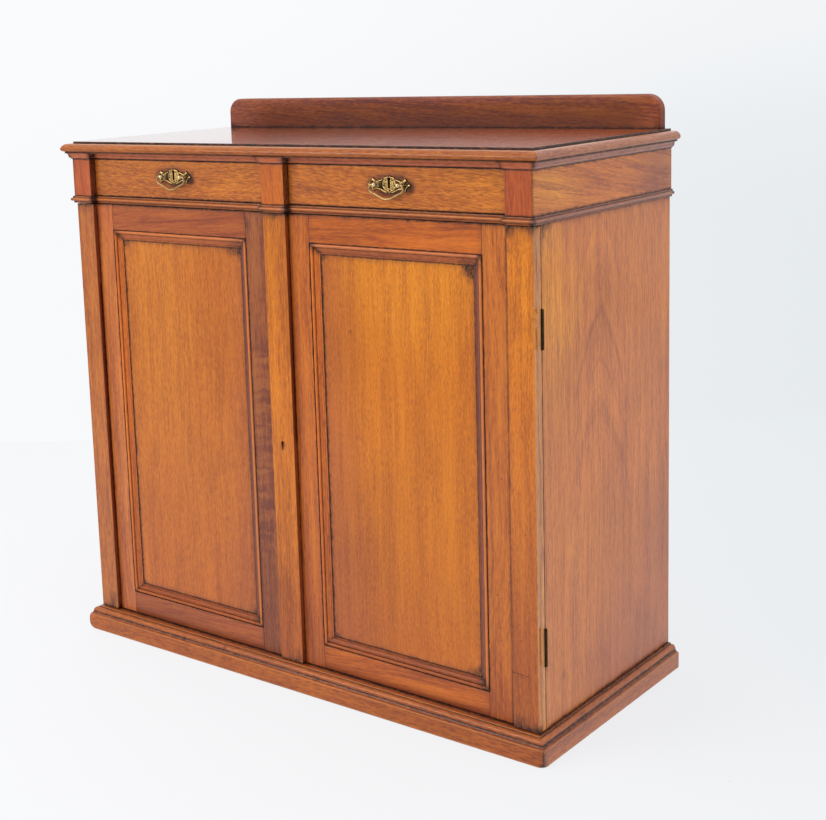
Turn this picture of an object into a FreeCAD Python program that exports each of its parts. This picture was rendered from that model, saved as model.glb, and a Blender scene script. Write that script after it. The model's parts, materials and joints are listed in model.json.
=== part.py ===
import FreeCAD, Part
import math
import os

# Chiffonier: a two-door cupboard with two frieze drawers, a moulded top with a low upstand and a moulded plinth.
# All lengths are millimetres. X runs to the right, the front faces -Y, +Z is up.
# The model is built with y = 0 at the front face of the pilasters and is moved at the end, so that the
# origin lies on the floor at the middle of the footprint.

V = FreeCAD.Vector
os.makedirs("parts", exist_ok=True)

# ---------------------------------------------------------------- driving dimensions
HALF_W = 515.4            # half width of the case over its sides
DEPTH = 463.9             # front face of the pilasters to the rear face
SIDE_T = 20.0             # thickness of the case sides
PLINTH_H = 45.8           # height of the plinth
PLINTH_OUT = 20.6         # how far the plinth stands out from the case
PLINTH_T = 30.0           # thickness of the plinth boards; the front one reaches further back, to the case
WAIST_Z0, WAIST_Z1 = 875.6, 889.2     # waist moulding
FRIEZE_Z1 = 961.0         # top of the frieze
TOP_Z0, TOP_Z1 = 973.0, 994.4         # top board
UPSTAND_H = 60.5
UPSTAND_T = 22.0
UPSTAND_HALF_W = 506.0
UPSTAND_R = 29.0          # rounded corners of the upstand
FRIEZE_X = 518.0          # side face of the frieze
FRIEZE_Y = -3.0           # front face of the frieze blocks
TOP_HALF_W = 535.0        # half width of the top over its nosing
TOP_FRONT_Y = -17.8       # front of the nosing
TOP_EDGE = 18.4           # width of the moulded edge round the flat of the top
RECESS_Y = 10.0           # front face of the door frames and drawer fronts
DOOR_BACK = 22.0          # back face of the doors
CASE_Y = 23.0             # front edges of the case
DOOR_Z0, DOOR_Z1 = 47.0, 874.0
BACK_T = 12.0             # back boards
BACK_Y = DEPTH - BACK_T

PIL_L = (-HALF_W, -470.0)             # left pilaster
PIL_R = (467.0, HALF_W)               # right pilaster
STRIP = (-33.0, 18.0)                 # centre strip, on the right door
BLOCK_C = (-32.0, 20.0)               # centre block of the frieze
LEFT_EDGE = -34.5                     # free edge of the left door
OPEN_L = (-427.5, -84.5, 91.0, 824.7)     # sight of the left door frame: x0, x1, z0, z1
OPEN_R = (62.5, 415.5, 91.0, 824.7)       # sight of the right door frame
PANEL_Y = 16.5            # front face of the panels
KEY_X, KEY_Z = -9.0, 460.8            # round part of the keyhole of the doors

HINGE_X, HINGE_Y = 516.6, 22.5        # axis of the door hinges
KNUCKLE_R = 2.6
PIN_R = 1.3
BORE_R = 1.35
HINGES = ((157.0, 219.0), (680.0, 742.0))  # z range of each hinge
LEAF_T = 1.6

DRAWER_L = (-469.2, -32.8)
DRAWER_R = (20.8, 466.2)
DRAWER_Z = (890.0, 960.2)
DRAWER_FRONT_T = 20.0
DRAWER_END = 438.0
HANDLE_L = (-255.0, 931.6)            # centre of the left handle: x, height of its bail pivots
HANDLE_R = (239.0, 930.5)             # centre of the right handle
BAIL_Y = -1.0             # the bails hang in this plane
BAIL_HALF = 24.3          # half spacing of the posts
WIRE_R = 1.8
HEAD_R = 4.1
SHELF_Z = (446.0, 464.0)

SHIFT = V(0, -(DEPTH - PLINTH_OUT) / 2.0, 0)


# ---------------------------------------------------------------- helpers
def box(x0, x1, y0, y1, z0, z1):
    return Part.makeBox(x1 - x0, y1 - y0, z1 - z0, V(x0, y0, z0))


def wire(path, f):
    """Closed wire. path is a list of (a, b), or ("arc", (a, b) on the arc, (a, b) at its end); f maps (a, b) to a point."""
    start = path[0]
    last = start
    edges = []
    for p in path[1:]:
        if p[0] == "arc":
            edges.append(Part.Arc(f(*last), f(*p[1]), f(*p[2])).toShape())
            last = p[2]
        else:
            edges.append(Part.makeLine(f(*last), f(*p)))
            last = p
    if math.hypot(last[0] - start[0], last[1] - start[1]) > 1e-6:
        edges.append(Part.makeLine(f(*last), f(*start)))
    return Part.Wire(edges)


def prism(path, f, direction):
    return Part.Face(wire(path, f)).extrude(direction)


def run(profile, axis, face, sign, s0, s1, m0, m1, z0, z1):
    """A straight length of moulding. The profile is in (d, z), d standing out from the face plane.
    axis "x": along X on the plane y = face, standing out to -Y. axis "y": along Y on the plane x = face, standing out to sign * X.
    m0 and m1 are the mitres at s0 and s1: 1 for an outer corner, -1 for an inner corner, 0 for a square end."""
    big = 40.0
    if axis == "x":
        def f(s):
            return lambda d, z: V(s, face - d, z)
        along = V(1, 0, 0)
        def plan(s, d):
            return V(s, face - d, z0 - 5)
    else:
        def f(s):
            return lambda d, z: V(face + sign * d, s, z)
        along = V(0, 1, 0)
        def plan(s, d):
            return V(face + sign * d, s, z0 - 5)
    e = big
    a = s0 - (e if m0 else 0)
    b = s1 + (e if m1 else 0)
    body = prism(profile, f(a), along * (b - a))
    for s, m, way in ((s0, m0, -1), (s1, m1, 1)):
        if m:
            pts = [plan(s - way * m * big, -big), plan(s + way * m * big, big), plan(s + way * 4 * big, big), plan(s + way * 4 * big, -big)]
            cutter = Part.Face(Part.makePolygon(pts + [pts[0]])).extrude(V(0, 0, z1 - z0 + 10))
            body = body.cut(cutter)
    return body.Solids[0] if len(body.Solids) == 1 else body


def outline_runs(profile, z0, z1):
    """The moulding round the frieze, which breaks forward over the three blocks, as mitred lengths."""
    fx, fy, ry = FRIEZE_X, FRIEZE_Y, RECESS_Y
    pl, pr, c0, c1 = PIL_L[1], PIL_R[0], BLOCK_C[0], BLOCK_C[1]
    r = []
    r.append(run(profile, "y", -fx, -1, fy, DEPTH, 1, 0, z0, z1))
    r.append(run(profile, "x", fy, 0, -fx, pl, 1, 1, z0, z1))
    r.append(run(profile, "y", pl, 1, fy, ry, 1, -1, z0, z1))
    r.append(run(profile, "x", ry, 0, pl, c0, -1, -1, z0, z1))
    r.append(run(profile, "y", c0, -1, fy, ry, 1, -1, z0, z1))
    r.append(run(profile, "x", fy, 0, c0, c1, 1, 1, z0, z1))
    r.append(run(profile, "y", c1, 1, fy, ry, 1, -1, z0, z1))
    r.append(run(profile, "x", ry, 0, c1, pr, -1, -1, z0, z1))
    r.append(run(profile, "y", pr, -1, fy, ry, 1, -1, z0, z1))
    r.append(run(profile, "x", fy, 0, pr, fx, 1, 1, z0, z1))
    r.append(run(profile, "y", fx, 1, fy, DEPTH, 1, 0, z0, z1))
    return r


def outline_core(z0, z1, half):
    """The rail edge behind that moulding, from the outline back to the case."""
    pl, pr, c0, c1 = PIL_L[1], PIL_R[0], BLOCK_C[0], BLOCK_C[1]
    fy, ry = FRIEZE_Y, RECESS_Y
    pts = [(-half, CASE_Y), (-half, fy), (pl, fy), (pl, ry), (c0, ry), (c0, fy), (c1, fy), (c1, ry), (pr, ry), (pr, fy), (half, fy), (half, CASE_Y)]
    return prism(pts, lambda x, y: V(x, y, z0), V(0, 0, z1 - z0))


def keyhole(x, z, y0, y1, r=3.2, slot=3.0, drop=13.0):
    """Solid that cuts a keyhole along Y: a round top with a slot below it."""
    c = Part.makeCylinder(r, y1 - y0, V(x, y0, z), V(0, 1, 0))
    return c.fuse(box(x - slot / 2, x + slot / 2, y0, y1, z - drop, z))


def screw(x, y, z, way, length, r=1.6, head=3.3):
    """Countersunk screw along Y with its head face at y, pointing to way * Y. Returns (screw, plain shape for its hole)."""
    d = V(0, way, 0)
    cone = Part.makeCone(head, r, head - r, V(x, y, z), d)
    shank = Part.makeCylinder(r, length, V(x, y, z), d)
    plain = cone.fuse(shank)
    slot = box(x - head, x + head, min(y, y + way * 0.7), max(y, y + way * 0.7), z - 0.4, z + 0.4)
    return plain.cut(slot), plain


def rounded_path(points, radius):
    """Open wire through the points, straight runs joined by tangent arcs."""
    pts = [V(*p) for p in points]
    edges = []
    prev = pts[0]
    for i in range(1, len(pts) - 1):
        a = (pts[i - 1] - pts[i]).normalize()
        b = (pts[i + 1] - pts[i]).normalize()
        turn = math.pi - a.getAngle(b)
        room = 0.45 * min((pts[i - 1] - pts[i]).Length, (pts[i + 1] - pts[i]).Length)
        t = min(room, radius * math.tan(turn / 2))
        p, q = pts[i] + a * t, pts[i] + b * t
        rr = t / math.tan(turn / 2)
        bis = (a + b).normalize()
        centre = pts[i] + bis * (rr / math.cos(turn / 2))
        mid = centre - bis * rr
        if (p - prev).Length > 1e-6:
            edges.append(Part.makeLine(prev, p))
        edges.append(Part.Arc(p, mid, q).toShape())
        prev = q
    edges.append(Part.makeLine(prev, pts[-1]))
    return Part.Wire(edges)


NODES = {}


def add(name, *shapes):
    solids = []
    for s in shapes:
        solids += s.Solids
    for s in solids:
        if not s.isValid() or s.Volume <= 0:
            print("BAD SOLID", name, s.isValid(), s.Volume)
    NODES[name] = solids


# ---------------------------------------------------------------- hinges
def hinge_parts(side):
    """Leaves, pins, screws and the shapes that the wood is cut by, for one side of the case."""
    hx = side * HINGE_X
    case_leaves, door_leaves, pins, case_screws, door_screws = [], [], [], [], []
    case_cut, door_cut = [], []
    for z0, z1 in HINGES:
        n = (z1 - z0) / 5.0
        kn = lambda i, r, grow: Part.makeCylinder(r, n - 0.3 + 2 * grow, V(hx, HINGE_Y, z0 + i * n + 0.15 - grow))
        bore = Part.makeCylinder(BORE_R, z1 - z0 + 10, V(hx, HINGE_Y, z0 - 5))
        xa, xb = sorted((side * 497.0, hx))
        case = box(xa, xb, CASE_Y, CASE_Y + LEAF_T, z0, z1)
        door = box(xa, xb, DOOR_BACK - LEAF_T, DOOR_BACK, z0, z1)
        for i in range(5):
            own, other = (case, door) if i % 2 == 0 else (door, case)
            own = own.fuse(kn(i, KNUCKLE_R, 0))
            other = other.cut(kn(i, KNUCKLE_R + 0.35, 0.3))
            case, door = (own, other) if i % 2 == 0 else (other, own)
        case = case.cut(Part.makeCylinder(PIN_R, z1 - z0 + 10, V(hx, HINGE_Y, z0 - 5)))
        door = door.cut(bore)
        pin = Part.makeCylinder(PIN_R, z1 - z0 + 0.6, V(hx, HINGE_Y, z0 - 0.3))
        for zz in (z0 - 1.15, z1 - 0.15):
            pin = pin.fuse(Part.makeCylinder(2.3, 1.3, V(hx, HINGE_Y, zz)))
        zc = (z0 + z1) / 2
        clear = Part.makeCylinder(KNUCKLE_R + 0.5, z1 - z0 + 4.2, V(hx, HINGE_Y, z0 - 2.1))
        ca, cb = sorted((side * 497.0, side * (HALF_W + 1)))
        case_cut += [clear, box(ca, cb, CASE_Y, CASE_Y + LEAF_T, z0, z1)]
        door_cut += [clear, box(ca, cb, DOOR_BACK - LEAF_T, DOOR_BACK, z0, z1)]
        for dz in (-22.0, 0.0, 22.0):
            s, plain = screw(side * 505.0, CASE_Y, zc + dz, 1, 16.0)
            case = case.cut(plain)
            case_cut.append(plain)
            case_screws.append(s)
            s, plain = screw(side * 505.0, DOOR_BACK, zc + dz, -1, 14.0)
            door = door.cut(plain)
            door_cut.append(plain)
            door_screws.append(s)
        case_leaves.append(case)
        door_leaves.append(door)
        pins.append(pin)
    return case_leaves, door_leaves, pins, case_screws, door_screws, case_cut, door_cut


left_hinge = hinge_parts(-1)
right_hinge = hinge_parts(1)

# ---------------------------------------------------------------- plinth
plinth_profile = [
    (PLINTH_OUT - PLINTH_T, 0.0), (PLINTH_OUT - 1.0, 0.0), (PLINTH_OUT, 1.0), (PLINTH_OUT, 30.6),
    (19.4, 31.4), ("arc", (15.9, 32.7), (14.2, 35.8)),
    (13.6, 35.8), ("arc", (11.3, 41.6), (5.6, 44.6)),
    (3.6, 44.6), (3.6, 45.2), (3.0, PLINTH_H), (PLINTH_OUT - PLINTH_T, PLINTH_H),
]
plinth_in = HALF_W + PLINTH_OUT - PLINTH_T        # inner faces of the side boards
rail = run(plinth_profile, "x", 0.0, 0, -HALF_W, HALF_W, 1, 1, 0, PLINTH_H)
rail = rail.fuse(box(-plinth_in, plinth_in, PLINTH_T - PLINTH_OUT, CASE_Y, 0, PLINTH_H)).removeSplitter()     # carries the case's front edge
add("plinth_front", rail)
add("plinth_sides",
    run(plinth_profile, "y", -HALF_W, -1, 0.0, DEPTH, 1, 0, 0, PLINTH_H),
    run(plinth_profile, "y", HALF_W, 1, 0.0, DEPTH, 1, 0, 0, PLINTH_H))
add("plinth_back", box(-plinth_in, plinth_in, DEPTH - 25.0, DEPTH, 0, PLINTH_H))

# ---------------------------------------------------------------- case
ix = HALF_W - SIDE_T
for side, hinge, name in ((-1, left_hinge, "side_left"), (1, right_hinge, "side_right")):
    xa, xb = sorted((side * ix, side * HALF_W))
    s = box(xa, xb, CASE_Y, DEPTH, PLINTH_H, TOP_Z0)
    ra, rb = sorted((side * ix, side * (ix + 10.0)))
    s = s.cut(box(ra, rb, BACK_Y, DEPTH, PLINTH_H, TOP_Z0))
    for c in hinge[5]:
        s = s.cut(c)
    add(name, s)

fxa, fxb = HALF_W, FRIEZE_X
add("frieze_sides",
    box(-fxb, -fxa, FRIEZE_Y, DEPTH, WAIST_Z0, TOP_Z0),
    box(fxa, fxb, FRIEZE_Y, DEPTH, WAIST_Z0, TOP_Z0))

add("frieze_blocks",
    box(-HALF_W, PIL_L[1], FRIEZE_Y, CASE_Y, WAIST_Z1, FRIEZE_Z1),
    box(BLOCK_C[0], BLOCK_C[1], FRIEZE_Y, 60.0, WAIST_Z1, FRIEZE_Z1),
    box(PIL_R[0], HALF_W, FRIEZE_Y, CASE_Y, WAIST_Z1, FRIEZE_Z1))

bolt_x = -60.0            # bolt of the left door
bolt_y = 27.4
drawer_rail = box(-ix, ix, CASE_Y, 103.0, 869.2, WAIST_Z1).fuse(outline_core(WAIST_Z0, WAIST_Z1, HALF_W)).removeSplitter()
drawer_rail = drawer_rail.cut(Part.makeCylinder(3.8, 12.0, V(bolt_x, bolt_y, 869.2)))
add("drawer_rail", drawer_rail)

top_rail = box(-ix, ix, CASE_Y, 83.0, FRIEZE_Z1, TOP_Z0).fuse(outline_core(FRIEZE_Z1, TOP_Z0, HALF_W)).removeSplitter()
for cx, cz in (HANDLE_L, HANDLE_R):
    top_rail = top_rail.cut(box(cx - 14, cx + 14, 21.0, 29.0, FRIEZE_Z1, 969.8))
add("top_rail", top_rail)

px = (BLOCK_C[0] + BLOCK_C[1]) / 2
add("drawer_partition", box(px - 9, px + 9, 60.0, BACK_Y, WAIST_Z1, TOP_Z0 - 12.0))
add("drawer_guides",
    box(-ix, DRAWER_L[0] - 1.2, 30.0, 445.0, WAIST_Z1, 909.2),
    box(DRAWER_L[1] + 1.2, px - 9, 60.0, 445.0, WAIST_Z1, 909.2),
    box(px + 9, DRAWER_R[0] - 1.2, 60.0, 445.0, WAIST_Z1, 909.2),
    box(DRAWER_R[1] + 1.2, ix, 30.0, 445.0, WAIST_Z1, 909.2))
stops = []
for x0, x1 in (DRAWER_L, DRAWER_R):
    for xc in (x0 + 70.0, x1 - 70.0):
        stops.append(box(xc - 18, xc + 18, RECESS_Y + DRAWER_FRONT_T + 0.2, 52.0, WAIST_Z1, 895.4))
add("drawer_stops", *stops)
add("dust_board", box(-ix, ix, 103.0, BACK_Y, 877.2, WAIST_Z1))
add("cupboard_bottom", box(-ix, ix, CASE_Y, BACK_Y, PLINTH_H, PLINTH_H + 20.0))
add("shelf", box(-ix + 0.5, ix - 0.5, 45.0, BACK_Y - 0.5, SHELF_Z[0], SHELF_Z[1]))
add("shelf_bearers",
    box(-ix, -ix + 18, 62.0, 440.0, SHELF_Z[0] - 20, SHELF_Z[0]),
    box(ix - 18, ix, 62.0, 440.0, SHELF_Z[0] - 20, SHELF_Z[0]))

boards = []
bw = 2 * (ix + 10.0) / 5
half = BACK_Y + BACK_T / 2
for i in range(5):                                   # half-lapped, so that no light shows between them
    x0 = -(ix + 10.0) + i * bw
    b = box(x0 + (0.4 if i else 0), x0 + bw - (0.4 if i < 4 else 0), BACK_Y, DEPTH, PLINTH_H, TOP_Z0)
    if i < 4:
        b = b.fuse(box(x0 + bw - 5.0, x0 + bw + 7.0, BACK_Y, half - 0.2, PLINTH_H, TOP_Z0)).removeSplitter()
    if i:
        b = b.cut(box(x0 - 1.0, x0 + 7.8, BACK_Y - 1.0, half + 0.2, PLINTH_H - 1.0, TOP_Z0 + 1.0))
    boards.append(b)
add("back_boards", *boards)

# ---------------------------------------------------------------- mouldings and top
waist_profile = [
    (0.0, WAIST_Z0), (1.3, WAIST_Z0), (1.3, 879.0), (2.3, 879.0), ("arc", (5.9, 882.7), (2.3, 886.4)),
    (3.6, 886.4), (3.6, WAIST_Z1), (0.0, WAIST_Z1),
]
add("waist_moulding", *outline_runs(waist_profile, WAIST_Z0, WAIST_Z1))

bed_profile = [
    (0.0, FRIEZE_Z1), (1.2, FRIEZE_Z1), (1.2, 962.0), ("arc", (5.0, 965.3), (2.8, 968.6)), ("arc", (5.4, 971.2), (10.4, 972.2)),
    (10.4, TOP_Z0), (0.0, TOP_Z0),
]
add("bed_moulding", *outline_runs(bed_profile, FRIEZE_Z1, TOP_Z0))

fx, fy = TOP_HALF_W - TOP_EDGE, TOP_FRONT_Y + TOP_EDGE     # edges of the flat of the top
nose = [
    (-8.0, TOP_Z0), (14.4, TOP_Z0), (14.4, 976.2), (15.0, 976.2), ("arc", (17.8, 978.4), (18.4, 982.0)), ("arc", (13.9, 988.3), (4.5, 990.5)),
    (0.0, 989.9), (0.0, TOP_Z1), (-8.0, TOP_Z1),
]
slab = box(-(fx - 8.0), fx - 8.0, fy + 8.0, DEPTH, TOP_Z0, TOP_Z1)
top = slab
for r in (run(nose, "x", fy, 0, -fx, fx, 1, 1, TOP_Z0, TOP_Z1),
          run(nose, "y", -fx, -1, fy, DEPTH, 1, 0, TOP_Z0, TOP_Z1),
          run(nose, "y", fx, 1, fy, DEPTH, 1, 0, TOP_Z0, TOP_Z1)):
    top = top.fuse(r)
top = top.removeSplitter()
add("top_board", top)

ux, ur, uz = UPSTAND_HALF_W, UPSTAND_R, TOP_Z1 + UPSTAND_H
k = ur * (1 - math.sqrt(0.5))
upstand = prism(
    [(-ux, TOP_Z1), (ux, TOP_Z1), (ux, uz - ur), ("arc", (ux - k, uz - k), (ux - ur, uz)), (-ux + ur, uz), ("arc", (-ux + k, uz - k), (-ux, uz - ur))],
    lambda x, z: V(x, DEPTH - UPSTAND_T, z), V(0, UPSTAND_T, 0))
front_edges = [e for e in upstand.Edges
               if all(abs(v.Point.y - (DEPTH - UPSTAND_T)) < 1e-6 for v in e.Vertexes) and max(v.Point.z for v in e.Vertexes) > TOP_Z1 + 1]
upstand = upstand.makeFillet(4.0, front_edges)
add("upstand", upstand)

add("hinge_case_leaves", *(left_hinge[0] + right_hinge[0] + left_hinge[2] + right_hinge[2]))
add("hinge_case_screws", *(left_hinge[3] + right_hinge[3]))

# ---------------------------------------------------------------- doors
TENON = 26.0
REBATE = 8.0


def panel_moulding(x0, x1, z0, z1):
    """Four mitred lengths planted inside the frame. The profile is in (e, y): e is the distance in from the frame's edge."""
    prof = [
        (0.0, PANEL_Y), (0.0, 11.2), (0.9, 11.2), (0.9, 10.4), ("arc", (3.0, 8.8), (5.1, 10.6)), (5.1, 12.2),
        (6.0, 12.2), (6.0, 11.6), ("arc", (9.2, 11.9), (11.6, 13.4)), ("arc", (13.6, 14.7), (16.0, 14.8)),
        (16.0, 15.3), (19.4, 15.3), (19.4, PANEL_Y),
    ]
    big = 60.0
    out = []
    for which in ("left", "right", "bottom", "top"):
        if which in ("left", "right"):
            base, sg = (x0, 1) if which == "left" else (x1, -1)
            m = lambda e, y, b=base, g=sg: V(b + g * e, y, z0)
            body = prism(prof, m, V(0, 0, z1 - z0))
            tri_a = [(base, z0), (base + sg * big, z0 + big), (base + sg * big, z0 - 10), (base, z0 - 10)]
            tri_b = [(base, z1), (base + sg * big, z1 - big), (base + sg * big, z1 + 10), (base, z1 + 10)]
        else:
            base, sg = (z0, 1) if which == "bottom" else (z1, -1)
            m = lambda e, y, b=base, g=sg: V(x0, y, b + g * e)
            body = prism(prof, m, V(x1 - x0, 0, 0))
            tri_a = [(x0, base), (x0 + big, base + sg * big), (x0 - 10, base + sg * big), (x0 - 10, base)]
            tri_b = [(x1, base), (x1 - big, base + sg * big), (x1 + 10, base + sg * big), (x1 + 10, base)]
        for tri in (tri_a, tri_b):
            body = body.cut(prism(tri, lambda x, z: V(x, 0, z), V(0, 30, 0)))
        out.append(body)
    return out


def door(prefix, x0, x1, sight, pil, hinge_side, hinge, strip=None):
    sx0, sx1, sz0, sz1 = sight
    y0, y1 = RECESS_Y, DOOR_BACK
    left = box(x0, sx0, y0, y1, DOOR_Z0, DOOR_Z1)
    right = box(sx1, x1, y0, y1, DOOR_Z0, DOOR_Z1)
    rebate = box(sx0 - REBATE, sx1 + REBATE, PANEL_Y, y1, sz0 - REBATE, sz1 + REBATE)
    rails = []
    for z0, z1 in ((DOOR_Z0, sz0), (sz1, DOOR_Z1)):
        lo, hi = (z0 + 6.0, z1 - REBATE - 4.0) if z0 == DOOR_Z0 else (z0 + REBATE + 4.0, z1 - 6.0)
        r = box(sx0, sx1, y0, y1, z0, z1).cut(rebate)
        ten_l = box(sx0 - TENON, sx0, 13.0, 18.0, lo, hi)
        ten_r = box(sx1, sx1 + TENON, 13.0, 18.0, lo, hi)
        left = left.cut(ten_l)
        right = right.cut(ten_r)
        rails.append(r.fuse(ten_l).fuse(ten_r).removeSplitter())
    left = left.cut(rebate)
    right = right.cut(rebate)
    panel = box(sx0 - REBATE + 0.5, sx1 + REBATE - 0.5, PANEL_Y, y1, sz0 - REBATE + 0.5, sz1 + REBATE - 0.5)
    pilaster = box(pil[0], pil[1], 0.0, RECESS_Y, DOOR_Z0, DOOR_Z1)
    stile_h, stile_m = (left, right) if hinge_side < 0 else (right, left)
    for c in hinge[6]:
        stile_h = stile_h.cut(c)
        pilaster = pilaster.cut(c)
    if strip:
        kh = keyhole(KEY_X, KEY_Z, -1, y1 + 1)
        stile_m = stile_m.cut(kh)
        s = box(strip[0], strip[1], 0.0, RECESS_Y, DOOR_Z0, DOOR_Z1).cut(kh)
        s = s.cut(Part.makeCylinder(1.1, 5.0, V(KEY_X - 0.4, -1.0, KEY_Z + 8.6), V(0, 1, 0)))     # old pin hole over the keyhole
        add(prefix + "_centre_strip", s)
    add(prefix + "_hinge_stile", stile_h)
    add(prefix + "_meeting_stile", stile_m)
    add(prefix + "_rails", *rails)
    add(prefix + "_panel", panel)
    add(prefix + "_panel_moulding", *panel_moulding(sx0, sx1, sz0, sz1))
    add(prefix + "_pilaster", pilaster)
    add(prefix + "_hinge_leaves", *hinge[1])
    add(prefix + "_hinge_screws", *hinge[4])


door("left_door", -HALF_W, LEFT_EDGE, OPEN_L, PIL_L, -1, left_hinge)
door("right_door", STRIP[0], HALF_W, OPEN_R, PIL_R, 1, right_hinge, STRIP)

# bolt of the left door, on the back of its meeting stile
plate = box(bolt_x - 10, bolt_x + 10, DOOR_BACK, DOOR_BACK + 1.6, 792.0, 862.0)
for z0 in (798.0, 848.0):
    plate = plate.fuse(box(bolt_x - 6.5, bolt_x + 6.5, DOOR_BACK + 1.6, 32.4, z0, z0 + 8.0))
plate = plate.cut(Part.makeCylinder(3.15, 90.0, V(bolt_x, bolt_y, 785.0))).removeSplitter()
add("left_door_bolt_plate", plate)
bolt = Part.makeCylinder(3.0, 73.5, V(bolt_x, bolt_y, 794.0))
bolt = bolt.fuse(Part.makeCylinder(2.0, 10.0, V(bolt_x, bolt_y, 821.0), V(0, 1, 0))).fuse(Part.makeSphere(3.6, V(bolt_x, bolt_y + 11.0, 821.0)))
add("left_door_bolt", bolt)

# lock of the right door, on the back of its meeting stile
case = box(-31.0, 17.0, DOOR_BACK, 33.0, 436.0, 486.0)
case = case.cut(box(-31.5, 2.0, 22.5, 28.1, 449.7, 468.3))
case = case.cut(keyhole(KEY_X, KEY_Z, DOOR_BACK - 1, 34.0))
add("right_door_lock_case", case)
lock_bolt = box(-32.3, -13.0, 22.8, 27.8, 450.0, 468.0)
add("right_door_lock_bolt", lock_bolt)

# ---------------------------------------------------------------- drawers
SIDE_D = 9.0
plate_half = [
    (0.0, 14.6), (3.2, 14.1), (5.4, 12.9), (8.2, 12.6), (11.2, 11.4), (13.6, 9.6), (17.0, 8.4), (20.6, 8.0), (23.4, 6.4), (26.0, 7.4),
    (29.6, 8.2), (33.2, 11.0), (35.0, 7.8), (38.4, 4.4), (41.0, 1.6), (43.8, -0.8), (40.6, -2.2), (37.4, -4.4), (35.0, -6.6), (34.0, -9.4), (33.2, -12.6),
    (31.0, -10.0), (28.0, -8.4), (22.0, -8.2), (16.0, -8.0), (12.6, -9.0), (9.0, -11.2), (5.6, -13.0), (2.6, -13.7), (0.0, -13.9),
]


def drawer(prefix, x0, x1, hx, hz):
    z0, z1 = DRAWER_Z
    yf, yb = RECESS_Y, RECESS_Y + DRAWER_FRONT_T
    front = box(x0, x1, yf, yb, z0, z1)
    sides = []
    for xa, xb in ((x0, x0 + SIDE_D), (x1 - SIDE_D, x1)):
        s = box(xa, xb, yb, DRAWER_END, z0 - 0.4, z1 - 7.0)
        for zc in (903.5, 922.0, 940.5):
            tail = prism([(yb, zc - 5.0), (yb - 12.0, zc - 7.4), (yb - 12.0, zc + 7.4), (yb, zc + 5.0)],
                         lambda y, z, a=xa: V(a, y, z), V(SIDE_D, 0, 0))
            s = s.fuse(tail)
            front = front.cut(tail)
        sides.append(s.removeSplitter())
    groove = box(x0 + SIDE_D - 4.0, x1 - SIDE_D + 4.0, yb - 6.0, DRAWER_END - 1.0, 897.0, 902.0)
    front = front.cut(groove)
    sides = [s.cut(groove) for s in sides]
    bottom = box(x0 + SIDE_D - 4.0, x1 - SIDE_D + 4.0, yb - 6.0, DRAWER_END - 1.0, 897.0, 902.0)
    back = box(x0 + SIDE_D, x1 - SIDE_D, DRAWER_END - 10.0, DRAWER_END - 2.0, 902.0, z1 - 9.0)
    # lock, let into the back of the front, its bolt rising into the top rail
    case = box(hx - 18, hx + 18, 21.0, yb, 920.0, z1)
    front = front.cut(case)
    kh = keyhole(hx, hz + 8.6, 4.0, 31.0, r=2.3, slot=2.6, drop=12.4)
    front = front.cut(kh)
    case = case.cut(kh).cut(box(hx - 12.3, hx + 12.3, 22.2, 27.8, 947.2, z1 + 1))
    add(prefix + "_lock_case", case)
    add(prefix + "_lock_bolt", box(hx - 12, hx + 12, 22.5, 27.5, 947.5, z1 - 0.3))
    # handle: a cast plate, two ball-headed posts with nuts and a bail
    outline = [(hx + a, hz + b) for a, b in plate_half] + [(hx - a, hz + b) for a, b in plate_half[-2:0:-1]]
    plate = prism(outline, lambda x, z: V(x, yf, z), V(0, -2.0, 0)).cut(kh)
    posts = []
    for sg in (-1, 1):
        xp = hx + sg * BAIL_HALF
        shank = Part.makeCylinder(2.2, yb + 4.0 - BAIL_Y, V(xp, BAIL_Y, hz), V(0, 1, 0))
        drill = Part.makeCylinder(2.3, 60.0, V(xp, BAIL_Y, hz), V(0, 1, 0))
        plate = plate.cut(drill)
        front = front.cut(drill)
        collar = Part.makeCone(2.8, 3.8, 3.0, V(xp, yf - 5.0, hz), V(0, 1, 0))
        head = Part.makeSphere(HEAD_R, V(xp, BAIL_Y, hz))
        post = shank.fuse(collar).fuse(head)
        hole = Part.makeCylinder(WIRE_R + 0.08, 10.0, V(xp - sg * 0.4, BAIL_Y, hz), V(sg, 0, 0))
        posts.append(post.cut(hole))
        nut = Part.makeCylinder(5.2, 3.0, V(xp, yb, hz), V(0, 1, 0))
        posts.append(nut.cut(shank))
    half = [(BAIL_HALF, 0.0), (34.2, 0.0), (36.0, -6.6), (31.0, -11.8), (18.6, -14.8), (7.2, -21.6), (0.0, -23.2)]
    line = [(hx - a, BAIL_Y, hz + b) for a, b in half] + [(hx + a, BAIL_Y, hz + b) for a, b in half[-2::-1]]
    path = rounded_path(line, 5.0)
    ring = Part.Wire([Part.makeCircle(WIRE_R, V(*line[0]), V(1, 0, 0))])
    bail = path.makePipeShell([ring], True, False)
    add(prefix + "_front", front)
    add(prefix + "_sides_back", *(sides + [back]))
    add(prefix + "_bottom", bottom)
    add(prefix + "_handle_plate", plate)
    add(prefix + "_handle_posts", *posts)
    add(prefix + "_handle_bail", bail)


drawer("left_drawer", DRAWER_L[0], DRAWER_L[1], *HANDLE_L)
drawer("right_drawer", DRAWER_R[0], DRAWER_R[1], *HANDLE_R)

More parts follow.
